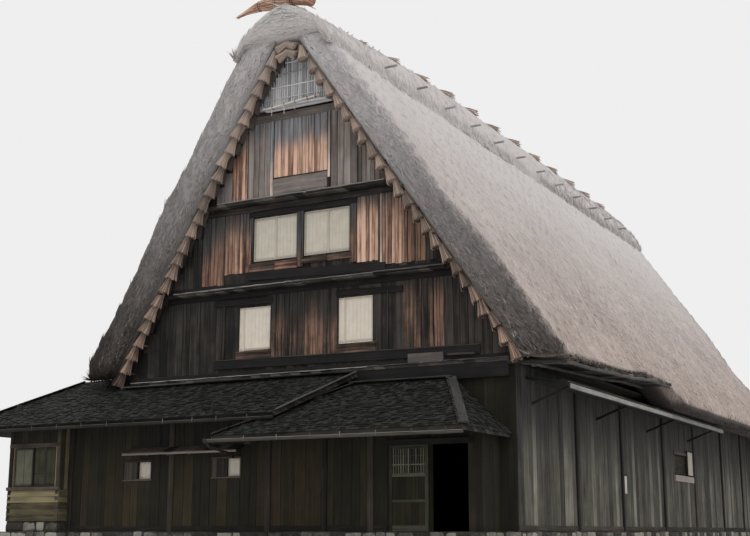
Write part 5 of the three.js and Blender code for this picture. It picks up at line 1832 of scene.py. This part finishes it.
@dataclass
class EavePoles(Piece):
    """Pole gutters under the front eaves, hung from pegs.

    Attributes:
        lines: Two ends of each pole.
        spout: Points along the short downpipe.
        size: Thickness of a pole.
        peg_step: Distance between two pegs.
    """

    lines: tuple[tuple[Triple, Triple], ...] = (
        ((-10.0, -2.07, 2.83), (0.36, -2.07, 2.81)),
        ((-1.15, -2.67, 2.27), (5.5, -2.67, 2.25)),
    )
    spout: tuple[Triple, ...] = ((-1.14, -2.62, 2.26), (-1.2, -2.4, 2.16), (-1.28, -1.8, 2.1),
                                 (-1.32, -1.36, 2.06), (-1.34, -1.2, 1.98))
    size: float = 0.08
    peg_step: float = 0.85

    def build(self) -> None:
        """Builds the poles, the painted highlight strips along their tops, the pegs and the short downpipe.
        """
        self.sow(171)
        normal = self.rng.normal
        for start, end in self.lines:
            a, b = np.array(start), np.array(end)
            self.sticks(a, b - a, (0, self.size, 0), (0, 0, self.size), sides=11, steps=14, wave=0.006,
                        taper=0.85)
            # A thin lighter strip along the top of the pole: painted highlight.
            self.sticks(a + [0, -0.028, 0.034], b - a, (0, 0.014, 0), (0, 0, 0.012), sides=4, steps=14,
                        wave=0.003, finish=1)
            for x in np.arange(a[0] + 0.3, b[0], self.peg_step):
                drop = (x + normal(0, 0.05), a[1] - 0.035, a[2] + 0.085)
                self.sticks(drop, (normal(0, 0.01), 0.0, -0.12), (0.016, 0, 0), (0, 0.016, 0), sides=7,
                            steps=2, finish=1)
        self.ropes(np.array(self.spout), 0.032, sides=10)
        self.sticks((-1.1, -2.67, 2.22), (0, 0, 0.1), (0.1, 0, 0), (0, 0.1, 0), sides=11, taper=1.5)
        self.place("eave_poles", [GUTTER_POLE, GUTTER_HIGHLIGHT_AND_PEGS], "frame_timber")


@dataclass
class BoardWall(Piece):
    """Upright boards over one face of a ground storey wall.

    Attributes:
        name: The piece's name.
        start: Where the wall's run begins, across and along the house.
        run: Unit vector along the wall.
        out: Unit vector out of the wall.
        head: Height of the boards' heads.
        spans: Stretches between posts, along the run.
        posts: Places of posts along the run.
        holes: Window holes, their left and right along the run.
        width: Narrowest and widest board.
        finishes: Their finishes, picked at random board by board.
        post_size: Width and proud of a post.
        foot: Height of the boards' feet.
        thickness: Thickness of a board.
    """

    name: str
    start: Pair
    run: Pair
    out: Pair
    head: float
    spans: tuple[Pair, ...]
    posts: tuple[float, ...]
    holes: tuple[Opening, ...] = ()
    width: Pair = (0.2, 0.34)
    finishes: tuple[Finish, ...] = (GREY_WALL, DIM_WALL)
    post_size: Pair = (0.14, 0.06)
    foot: float = 0.2
    thickness: float = 0.018

    def joints(self, span: Pair) -> Array:
        """Picks the joints between boards in one stretch, with one at each side of a hole.

        Args:
            span: The stretch.

        Returns:
            Places along the run, in order.
        """
        holes = {spot for hole in self.holes for spot in hole[:2] if span[0] < spot < span[1]}
        places = []
        for low, high in pairwise(sorted({*span, *holes})):
            count = max(1, int(round((high - low) / self.rng.uniform(*self.width))))
            places.append(low + joints_of(self.rng.uniform(0.75, 1.25, count), high - low)[:-1])
        return np.append(np.concatenate(places), span[1])

    def fix(self, along: float, up: float, way: Pair, across: float, thick: float, lift: float,
            **shape: object) -> None:
        """Adds one timber against the wall.

        Args:
            along: Its middle or its end, along the run.
            up: Height of its first end.
            way: Its whole length, along the run and up.
            across: Its width.
            thick: Its thickness.
            lift: How far its middle stands out of the wall.
            shape: Anything else that sticks takes.
        """
        run, out = np.array([*self.run, 0.0]), np.array([*self.out, 0.0])
        start = np.array([*self.start, 0.0]) + run * along + out * lift + [0, 0, up]
        side = run * across if way[1] else (0, 0, across)
        self.sticks(start, run * way[0] + [0, 0, way[1]], side, out * thick, **shape)

    def add_board(self, left: float, right: float, foot: float, head: float) -> None:
        """Adds one board.

        Args:
            left: Its left edge along the run.
            right: Its right edge.
            foot: Height of its foot.
            head: Height of its head.
        """
        thick = self.thickness + self.rng.uniform(-0.003, 0.004)
        wide = right - left - self.rng.uniform(0.003, 0.009)
        # The veil darkens each board towards its head: painted shade under the eave.
        self.fix((left + right) / 2, foot, (0, head - foot), wide, thick, thick / 2 - 0.002, steps=4,
                 bow=0.003, wave=0.0014, finish=int(self.rng.integers(len(self.finishes))), veil=(1.2, 3.4))

    def build(self) -> None:
        """Builds the boards, posts and sill."""
        self.sow(sum(map(ord, self.name)))
        for span in self.spans:
            for left, right in pairwise(self.joints(span)):
                cuts = [hole for hole in self.holes if hole[0] <= (left + right) / 2 <= hole[1]]
                stops = (self.foot, cuts[0][2], cuts[0][3], self.head) if cuts else (self.foot, self.head)
                for foot, head in zip(stops[::2], stops[1::2]):
                    self.add_board(left, right, foot, head)
        wood, (wide, proud) = len(self.finishes), self.post_size
        for place in self.posts:
            # Posts darken towards their heads the same way: painted shade under the eave.
            self.fix(place, self.foot, (0, self.head - self.foot), wide, proud + 0.01, proud / 2, bevel=0.014,
                     steps=8, wave=0.003, finish=wood, veil=(1.6, 3.6))
        for left, right in self.spans:
            self.fix(left, self.foot + 0.07, (right - left, 0), 0.13, 0.04, 0.018, bevel=0.01, steps=6,
                     wave=0.002, finish=wood)
        self.place(self.name, [*self.finishes, POST_WOOD], "wall_board")


SMALL_HOLES = tuple((round(left - FRONT_LEFT, 2), round(right - FRONT_LEFT, 2), foot, head)
                    for left, right, foot, head in SMALL_WINDOWS)
WALLS = (
    BoardWall("front_boards_left", (FRONT_LEFT, FRONT_Y), (1, 0), (0, -1), 3.38,
              ((0.16, 3.35), (3.51, 6.28), (6.44, 7.86)), (0.08, 3.43, 6.36), SMALL_HOLES, (0.22, 0.4),
              (WALL_BOARD, BROWN_WALL), (0.156, 0.05)),
    BoardWall("front_boards_middle", (0.0, FRONT_Y), (1, 0), (0, -1), 3.15, ((1.23, 2.32), (2.48, 2.84)),
              (1.15, 2.4), (), (0.16, 0.3), (WALL_BOARD,), (0.156, 0.05)),
    BoardWall("right_boards", (BODY_HALF, 0.0), (0, 1), (1, 0), 3.98,
              ((0.0, 3.9), (4.05, 7.65), (7.8, 11.9), (12.05, 15.75), (15.9, 19.7), (19.85, 23.0),
               (23.15, 25.46)),
              (3.975, 7.725, 11.975, 15.825, 19.775, 23.075), (NARROW_WINDOW, BARRED_WINDOW)),
    BoardWall("left_boards", (-BODY_HALF, ANNEX_BACK), (0, 1), (-1, 0), 3.98,
              ((0.0, 3.5), (3.65, 7.4), (7.55, 11.4), (11.55, 14.4), (14.55, 16.96)),
              (3.575, 7.475, 11.475, 14.475)),
    BoardWall("back_boards", (-BODY_HALF, BACK_WALL_Y), (1, 0), (0, 1), 3.36,
              ((0.0, 2.7), (2.85, 5.55), (5.7, 8.4), (8.55, 11.24)), (2.775, 5.625, 8.475)),
    BoardWall("annex_boards_left", (ANNEX_LEFT, -1.22), (0, 1), (-1, 0), 3.62,
              ((0.0, 3.1), (3.25, 6.4), (6.55, 9.72)), (3.175, 6.475)),
    BoardWall("annex_boards_back", (ANNEX_LEFT, ANNEX_BACK), (1, 0), (0, 1), 3.6, ((0.0, 1.4), (1.55, 2.98)),
              (1.475,)),
)


@dataclass
class FrontFittings(Piece):
    """Frames and shutters of the small front windows, and the pent board over them.

    Attributes:
        shutter: Width of the sliding shutter beside each window.
        pent: Left and right end of the pent board.
    """

    shutter: float = 0.44
    pent: Pair = (-4.7, -1.15)

    def add_window(self, left: float, right: float, foot: float, head: float) -> None:
        """Adds the frame and the shutter of one window.

        Args:
            left: Left edge of its hole.
            right: Right edge.
            foot: Lower edge.
            head: Upper edge.
        """
        face, far = FRONT_Y - 0.018, left - self.shutter
        for x0, z0, x1, z1 in ((left - 0.04, foot - 0.05, right + 0.04, foot),
                               (far - 0.04, head, right + 0.04, head + 0.045),
                               (far - 0.04, foot - 0.05, left - 0.04, foot - 0.012)):
            self.bar((x0, face - 0.03, z0), (x1, face + 0.01, z1))
        for x in (left - 0.035, right):
            self.bar((x, face - 0.022, foot), (x + 0.035, face + 0.01, head), 2)
        for x in np.linspace(far, left - 0.04, 4)[:-1]:
            self.bar((x, face - 0.02, foot - 0.01), (x + 0.13, face + 0.002, head), 2, finish=1)

    def build(self) -> None:
        """Builds both windows, the pent's pale edge, its brackets and its boards."""
        self.sow(181)
        for window in SMALL_WINDOWS:
            self.add_window(*window)
        (left, right), tip = self.pent, FRONT_Y - 0.362
        self.sticks((left, tip, 2.125), (right - left, 0, 0), (0, 0, 0.05), (0, 0.02, 0), bevel=0.005,
                    steps=14, wave=0.004, finish=2, tone=0.5)
        for x in np.linspace(left + 0.12, right - 0.12, 6):
            self.sticks((x, tip + 0.02, 2.1), (0, 0.34, 0.135), (0.045, 0, 0), (0, -0.02, 0.05), bevel=0.005)
        for a, b in pairwise(np.linspace(left, right, 12)):
            self.sticks(((a + b) / 2, tip - 0.015, 2.158), (0, 0.36, 0.148), (b - a - 0.005, 0, 0),
                        (0, -0.006, 0.014), bevel=0.003, steps=2, bow=0.003)
        self.place("front_fittings", [POST_WOOD, DARK_BOARD, GREY_BOARD], "frame_timber")


@dataclass
class DoorLeaf(Piece):
    """The sliding door leaf: stiles and rails, an upper lattice over boards, and lower boards.

    Attributes:
        low: Lowest corner of the leaf.
        high: Highest corner of the leaf.
        stile: Width of its frame.
        rails: Lower and upper edge of each rail, from the foot up.
        bars: Number of lattice bars.
    """

    low: Triple = (2.892, -1.046, 0.203)
    high: Triple = (3.888, -1.01, 2.14)
    stile: float = 0.085
    rails: tuple[Pair, ...] = ((0.203, 0.343), (0.85, 0.91), (1.42, 1.5), (2.05, 2.14))
    bars: int = 13

    def build(self) -> None:
        """Builds the leaf in the place of its node."""
        self.sow(191)
        (x0, y0, z0), (x1, y1, z1) = self.low, self.high
        left, right = x0 + self.stile, x1 - self.stile
        for x in (x0, right):
            self.bar((x, y0, z0), (x + self.stile, y1, z1), 2, steps=5, wave=0.0006)
        for low, high in self.rails:
            self.bar((left, y0 + 0.002, low), (right, y1 - 0.001, high))
        for (_, low), (high, _) in pairwise(self.rails):
            for a, b in pairwise(np.linspace(left, right, 6)):
                self.bar((a + 0.002, y0 + 0.016, low), (b - 0.002, y1 - 0.006, high), 2, 0.003, finish=1)
        foot, head = self.rails[2][1], self.rails[3][0]
        for x in np.linspace(left + 0.03, right - 0.03, self.bars):
            self.bar((x - 0.011, y0 + 0.003, foot), (x + 0.011, y0 + 0.016, head), 2, 0.003, finish=2)
        for z in (1.68, 1.88):
            self.bar((left, y0 + 0.006, z), (right, y0 + 0.013, z + 0.022), 0, 0.002, finish=2)
        self.bar((right + 0.02, y0, 1.02), (right + 0.05, y0 + 0.004, 1.16), 2, 0.001)
        self.place("door_leaf_boards", [LEAF_WOOD, WALL_BOARD, LEAF_LATTICE], "wall_board", body=LEAF,
                   stands_for=["door_leaf"])


@dataclass
class Bay(Piece):
    """The bay at the left corner: lapped boards, posts, rails and upper boards.

    Attributes:
        face: Its outer face.
        window: Hole of its window.
        low: Height of the lowest board's foot.
        high: Height of the upper boards' heads.
        boards: Number of lapped boards under the window.
    """

    face: float = -1.35
    window: Opening = (-8.455, -6.96, 1.37, 2.41)
    low: float = 0.475
    high: float = 3.3
    boards: int = 5

    def build(self) -> None:
        """Builds the bay's boards and timbers."""
        self.sow(201)
        left, right, face, (_, _, foot, head) = ANNEX_LEFT, FRONT_LEFT, self.face, self.window
        rise = (foot - 0.1 - self.low) / self.boards
        for number in range(self.boards):
            z = self.low + number * rise + rise / 2 + 0.012
            self.sticks((left - 0.012, face - 0.02, z), (right - left + 0.024, 0, 0), (0, 0.02, rise + 0.024),
                        (0, -0.016, 0.002), steps=8, wave=0.0015)
            self.sticks((right + 0.02, face - 0.012, z), (0, 0.35, 0), (-0.02, 0, rise + 0.024),
                        (0.016, 0, 0.002), steps=3, wave=0.0015)
        beam = {"steps": 5, "wave": 0.002, "finish": 1}
        self.bar((left - 0.03, face - 0.07, foot - 0.095), (right + 0.03, face + 0.01, foot - 0.005), **beam)
        self.bar((left - 0.01, face - 0.035, head + 0.004), (right + 0.01, face + 0.01, head + 0.11), **beam)
        for x in (left - 0.012, right - 0.12):
            self.bar((x, face - 0.032, self.low), (x + 0.13, face + 0.02, self.high), 2, 0.01, steps=6,
                     wave=0.002, finish=1)
        for a, b in pairwise(np.linspace(left + 0.12, right - 0.12, 7)):
            self.bar((a + 0.002, face - 0.018, head + 0.11), (b - 0.002, face + 0.004, self.high), 2, steps=2,
                     wave=0.001, finish=2)
        self.bar((-7.79, face - 0.005, foot), (-7.745, face + 0.04, head), 2, finish=1)
        self.place("bay_boards", [BAY_BOARD, POST_WOOD, WALL_BOARD], "bay_board")


@dataclass
class SideWindows(Piece):
    """The barred window with its side pane, and the narrow pane, in the right side wall.

    Attributes:
        face: Place of the wall's outer face.
        bars: Number of bars.
    """

    face: float = BODY_HALF
    bars: int = 15

    def add_pane(self, hole: Opening, play: float, inset: float) -> None:
        """Adds a sheet of paper with a thin frame round it.

        Args:
            hole: The hole that it closes.
            play: How much smaller it is on each side.
            inset: How far its face lies behind the wall's.
        """
        x = self.face - inset
        left, right, foot, head = hole[0] + play, hole[1] - play, hole[2] + play, hole[3] - play
        points, faces = lattice(np.array([x - 0.008, x]), np.linspace(left, right, 10),
                                np.linspace(foot, head, 8))
        points[:, 0] += 0.0015 * ripple(points, 0.3, 7)
        self.solids(points[None], faces, points[:, [1, 2, 0]], 0.6, 1, soft=True)
        for y in (left, right - 0.03):
            self.bar((x - 0.004, y, foot), (x + 0.022, y + 0.03, head), 2)
        for z in (foot, head - 0.03):
            self.bar((x - 0.004, left, z), (x + 0.02, right, z + 0.03), 1)

    def build(self) -> None:
        """Builds the windows, the bars, the sill and the frame."""
        self.sow(211)
        face, (left, right, foot, head) = self.face, BARRED_WINDOW
        self.add_pane(BARRED_WINDOW, 0.002, 0.06)
        self.add_pane(NARROW_WINDOW, 0.01, -0.022)
        for y in np.linspace(left + 0.09, right - 0.09, self.bars):
            self.bar((face - 0.03, y - 0.016, foot), (face - 0.002, y + 0.016, head), 2)
        for z in (foot + 0.2, head - 0.2):
            self.bar((face - 0.024, left, z - 0.012), (face - 0.006, right, z + 0.012), 1)
        self.bar((face - 0.01, left - 0.08, foot - 0.2), (face + 0.07, right + 0.08, foot - 0.002), 1,
                 steps=5, wave=0.002, finish=2, tone=0.9)
        self.bar((face - 0.01, left - 0.08, head + 0.002), (face + 0.05, right + 0.08, head + 0.09), 1,
                 steps=5, wave=0.002)
        self.bar((face + 0.055, right - 0.68, 2.02), (face + 0.069, right - 0.04, 2.78), 2, finish=1)
        for y in (right - 0.71, right - 0.05):
            self.bar((face - 0.004, y, 1.99), (face + 0.08, y + 0.04, 2.81), 2)
        self.place("side_windows", [POST_WOOD, PAPER, GREY_BOARD], "paper",
                   stands_for=["barred_window_right"])


@dataclass
class SidePent(Piece):
    """Boards over the narrow pent roof on the right side, with its edge boards and brackets.

    Attributes:
        span: Its nearer and farther end.
        reach: How far it stands out.
        top: Height where it meets the wall.
        drop: How far it falls.
        boards: Number of boards.
    """

    span: Pair = (0.6, 15.6)
    reach: float = 1.1
    top: float = 3.75
    drop: float = 0.2
    boards: int = 56

    def build(self) -> None:
        """Builds the boards, the edges and the brackets."""
        self.sow(221)
        near, far = self.span
        for a, b in pairwise(near + joints_of(self.rng.uniform(0.8, 1.2, self.boards), far - near)):
            self.sticks((BODY_HALF + 0.01, (a + b) / 2, self.top + 0.012),
                        (self.reach + 0.035, 0, -self.drop - 0.004),
                        (0, b - a - 0.006, 0), (0, 0, self.rng.uniform(0.012, 0.018)), steps=3, bow=0.004)
        low = self.top - self.drop
        for place, z, high in ((self.reach + 0.016, low - 0.08, 0.11),
                               (self.reach * 0.98, low + 0.012, 0.035)):
            self.sticks((BODY_HALF + place, near, z), (0, far - near, 0), (0, 0, high), (0.026, 0, 0),
                        bevel=0.005, steps=24, wave=0.003, finish=1)
        for y in np.arange(near + 0.4, far, 4.7):
            self.sticks((BODY_HALF, y, 3.14), (self.reach * 0.85, 0, 0.36), (0, 0.06, 0), (-0.02, 0, 0.06),
                        bevel=0.006, finish=2)
        self.place("side_pent_boards", [ROOF_TRIM, PENT_EDGE, POST_WOOD], "shingle")


@dataclass
class EaveRafters(Piece):
    """Poles across the underside of the right eave, and the two long poles that they are tied to.

    Attributes:
        line: Underside of the eave, as places along the house and heights.
        span: Nearer and farther end.
        step: Distance between two poles.
        inner: Place of the poles' inner ends.
        outer: Place of their outer ends.
        long_poles: Places of the long poles.
    """

    line: tuple[Pair, ...]
    span: Pair = (-0.1, 8.75)
    step: float = 0.3
    inner: float = 5.5
    outer: float = 6.9
    long_poles: Pair = (6.1, 6.85)

    def build(self) -> None:
        """Builds the poles."""
        self.sow(241)
        ys = np.arange(*self.span, self.step)
        low = np.interp(ys, *np.array(self.line).T) - 0.04
        start = np.stack([0 * ys + self.inner, ys, low + 0.02], -1) + self.rng.normal(0, 0.012, (len(ys), 3))
        end = np.stack([self.outer + self.rng.uniform(-0.1, 0.04, len(ys)), ys, low - 0.03], -1)
        self.sticks(start, end - start, (0, 0.11, 0), (0, 0, 0.1), sides=9, steps=4, wave=0.006, taper=0.85)
        for x in self.long_poles:
            path = np.stack([0 * ys + x, ys, low - 0.09], -1) + self.rng.normal(0, 0.006, (len(ys), 3))
            self.ropes(path, 0.045, sides=9, tone=0.5)
        self.place("eave_rafters_right", [RAFTER_POLE], "frame_timber")


@dataclass
class StoneBase(Piece):
    """Rounded stones set round the foot of the walls.

    Attributes:
        corners: Corners of the base's outer face, in order.
        height: Height of a course.
        upper: Left end, right end and place of the second course, under the bay.
        upper_height: Height of that course.
        proud: How far a stone stands out of its bed.
        depth: Depth of a stone.
        length: Shortest and longest stone.
    """

    corners: tuple[Pair, ...] = (
        (-8.72, -1.47), (-6.67, -1.47), (-6.67, -1.12), (5.32, -1.12), (5.32, -0.12), (5.74, -0.12),
        (5.74, 25.58), (-5.74, 25.58), (-5.74, 8.62), (-8.72, 8.62),
    )
    height: float = 0.2
    upper: Triple = (ANNEX_LEFT, FRONT_LEFT, -1.35)
    upper_height: float = 0.265
    proud: float = 0.014
    depth: float = 0.17
    length: Pair = (0.24, 0.52)

    def add_stone(self, spot: Array, run: Array, out: Array, size: Triple) -> None:
        """Adds one rounded stone.

        Args:
            spot: Middle of its outer face.
            run: Unit vector along the wall.
            out: Unit vector out of the wall.
            size: Its length, depth and height.
        """
        points, faces = lattice(*[np.linspace(-1, 1, count) * part / 2 for count,
                                  part in zip((6, 4, 5), size)])
        points = rounded(points, (0.05, 0.035, 0.05))
        points = points * (1 + 0.06 * ripple(points, 0.3, int(self.rng.integers(9999)))[:, None])
        placed = spot + run * points[:, :1] + out * (points[:, 1:2] - size[1] / 2) + points[:, 2:] * [0, 0, 1]
        placed[:, 2] = np.maximum(placed[:, 2], 0.0)
        lay = points + self.rng.uniform(0, 9, 3)
        self.solids(placed[None], faces, lay, self.rng.uniform(0, 1, 1), soft=True)

    def build(self) -> None:
        """Builds the courses of stones."""
        self.sow(231)
        chance = self.rng.uniform
        left, right, face = self.upper
        courses = [(a, b, 0.0, self.height) for a, b in pairwise((*self.corners, self.corners[0]))]
        courses.append(((left, face), (right, face), self.height, self.upper_height))
        for a, b, foot, height in courses:
            a, b = np.array([*a, 0.0]), np.array([*b, 0.0])
            total = np.linalg.norm(b - a)
            run = (b - a) / total
            out = np.array([run[1], -run[0], 0.0])
            parts = chance(*self.length, max(1, int(total / 0.38)))
            for left, right in pairwise(joints_of(parts, total)):
                spot = a + run * (left + right) / 2 + out * (self.proud + chance(-0.008, 0.008))
                rise = height + chance(-0.02, 0.004)
                self.add_stone(spot + [0, 0, foot + rise / 2], run, out,
                               (right - left - 0.012, self.depth, rise))
        self.place("base_stones", [STONE], "stone")


@dataclass
class Studio:
    """The pale floor, the soft light and the camera.

    Attributes:
        reach: How far the floor reaches.
        sky: Brightness of the surroundings.
        sun: Strength of the soft main light.
        sun_turn: Its direction, in degrees.
        eye: The camera's place in the house's axes.
        pitch: How far it looks up, in degrees.
        yaw: How far it is turned left, in degrees.
        lens: Its focal length in millimetres, for a sensor 36 wide.
    """

    reach: float = 120.0
    sky: float = 0.86
    sun: float = 1.3
    sun_turn: Triple = (34.0, 12.0, 30.0)
    eye: Triple = (16.067, -25.844, 0.209)
    pitch: float = 12.257
    yaw: float = 28.628
    lens: float = 58.16

    def add(self, name: str, data: bpy.types.ID) -> bpy.types.Object:
        """Adds an object to the scene.

        Args:
            name: Its name.
            data: What it shows.

        Returns:
            The object.
        """
        item = bpy.data.objects.new(name, data)
        bpy.context.scene.collection.objects.link(item)
        return item

    def add_floor(self) -> None:
        """Adds the floor."""
        mesh = bpy.data.meshes.new("floor")
        corners = [(x * self.reach, y * self.reach, -0.002) for x, y in ((-1, -1), (1, -1), (1, 1), (-1, 1))]
        mesh.from_pydata(corners, [], [(0, 1, 2, 3)])
        material = bpy.data.materials.new("floor_pale")
        material.use_nodes = True
        shader = shader_of(material.node_tree)
        shader.inputs["Base Color"].default_value = linear((222, 221, 219))
        shader.inputs["Roughness"].default_value = 0.9
        mesh.materials.append(material)
        floor = self.add("floor", mesh)

    def add_light(self) -> None:
        """Adds the surroundings and the main light."""
        world = bpy.data.worlds.new("studio")
        bpy.context.scene.world = world
        world.use_nodes = True
        background = shader_of(world.node_tree, "BACKGROUND")
        background.inputs["Color"].default_value = (1.0, 1.0, 1.0, 1.0)
        background.inputs["Strength"].default_value = self.sky
        lamp = bpy.data.lights.new("main_light", "SUN")
        lamp.energy, lamp.angle = self.sun, math.radians(35)
        self.add("main_light", lamp).rotation_euler = Euler([math.radians(turn) for turn in self.sun_turn])
        bpy.context.scene.view_settings.view_transform = "Standard"

    def add_camera(self) -> None:
        """Adds the camera at the photograph's place."""
        data = bpy.data.cameras.new("camera")
        data.lens, data.sensor_width, data.clip_end = self.lens, 36.0, 400.0
        camera = self.add("camera", data)
        camera.location = np.array(self.eye) + ORIGIN
        camera.rotation_euler = Euler((math.radians(90 + self.pitch), 0.0, math.radians(self.yaw)))
        bpy.context.scene.camera = camera

    def build(self) -> None:
        """Builds the studio."""
        self.add_floor()
        self.add_light()
        self.add_camera()


def build_thatch() -> None:
    """Builds the slopes, the ridge and the verges."""
    left_line = ((-0.281, 3.95), (-0.28, 4.02), (0.0, 4.2), (0.35, 4.39), (8.7, 4.39), (9.13, 3.95))
    right_line = ((-1.0, 3.9), (-0.28, 3.92), (0.0, 4.08), (1.7, 4.12), (5.2, 4.26), (6.6, 4.37), (8.7, 4.38),
                  (9.3, 3.65))
    left_bands = ((0.0, 0.98), (0.12, 0.86), (0.3, 0.8), (0.5, 0.82), (0.7, 0.94), (0.85, 1.0), (1.0, 1.0))
    right_bands = ((0.0, 0.8), (0.1, 0.76), (0.4, 0.8), (0.6, 0.92), (0.8, 0.96), (0.92, 0.86), (1.0, 0.7))
    ThatchSlope(Side.LEFT, 0.25, 6.85, left_line, left_bands, LEFT_STRAW, 1.7, 3000, 0.1).build()
    ThatchSlope(Side.RIGHT, 0.01, 7.2, right_line, right_bands, SLOPE_STRAW).build()
    EaveRafters(right_line).build()
    RidgeCap().build()
    RidgeRoll().build()
    for turned in (False, True):
        for side in Side:
            VergeReeds(side, turned=turned).build()
        PurlinEnds(turned=turned).build()


def build_gables() -> None:
    """Builds both gables: boards, windows, lattices and ledges."""
    poles = ((-2.54, 4.6, 6.1, 0.05), (2.34, 4.5, 6.0, 0.035))
    # The fifth value of each storey darkens its boards towards the top: sooty stain and painted shade under
    # the ledge or eave above.
    storeys = (
        ("low", 0, LOW_RUNS, LOW_RAILS, (40, 38, 37), poles),
        ("middle", 1, MIDDLE_RUNS, MIDDLE_RAILS, (56, 56, 57)),
        ("high", 2, HIGH_RUNS, HIGH_RAILS, (102, 103, 107)),
    )
    windows = (
        ("low_left", (-2.08, -1.96, -1.1), 4.767, 5.934, -0.01, LOW_PAPER, LOW_PAPER),
        ("low_right", (0.93, 1.09, 1.915), 4.767, 5.934, -0.01, LOW_PAPER, LOW_PAPER),
        ("middle_left", (-1.54, -0.86, -0.188), 7.08, 8.247, -0.21),
        ("middle_right", (0.008, 0.72, 1.36), 7.08, 8.247, -0.21),
    )
    for turned in (False, True):
        for storey in storeys:
            GableStorey(*storey, turned=turned).build()
        for name, *sizes in windows:
            PaperWindow(f"paper_window_{'back' if turned else 'front'}_{name}", *sizes, turned=turned).build()
        GableTop(turned=turned).build()
        Ledges(turned=turned).build()


def build_ground_storey() -> None:
    """Builds the side roofs, walls, windows, door and base."""
    ShingleRoof("lean_to_shingles_front", FRONT_PLANES, FRONT_COVERS).build()
    ShingleRoof("entrance_shingles", ENTRY_PLANES, ENTRY_COVERS).build()
    ShingleRoof("lean_to_shingles_back", BACK_PLANES, BACK_COVERS, turned=True).build()
    EavePoles().build()
    for wall in WALLS:
        wall.build()
    FrontFittings().build()
    DoorLeaf().build()
    Bay().build()
    PaperWindow("paper_window_bay", (-8.455, -7.79, -7.36, -6.96), 1.37, 2.41, -1.32, DIM_PAPER, POST_WOOD,
                0.6, (1.72,), 0.032, BAY_PAPER).build()
    for side, (left, right, foot, head) in zip(("left", "right"), SMALL_WINDOWS):
        PaperWindow(f"small_window_{side}", (left, right), foot, head, -0.97, ribs=0.2).build()
    SideWindows().build()
    SidePent().build()
    StoneBase().build()


def finish_plain_nodes() -> None:
    """Gives each node that shows as it is its finish."""
    for finish, names in PLAIN_NODES.items():
        for name in names:
            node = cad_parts[name]
            if node.material_slots:
                node.material_slots[0].material = finish.material()
            else:
                node.data.materials.append(finish.material())
    log.info("finished the plain nodes")


def main() -> None:
    """Builds the farmhouse and its studio."""
    logging.basicConfig(level=logging.INFO, format="%(message)s")
    Studio().build()
    build_thatch()
    build_gables()
    build_ground_storey()
    finish_plain_nodes()


if __name__ == "__main__":
    main()
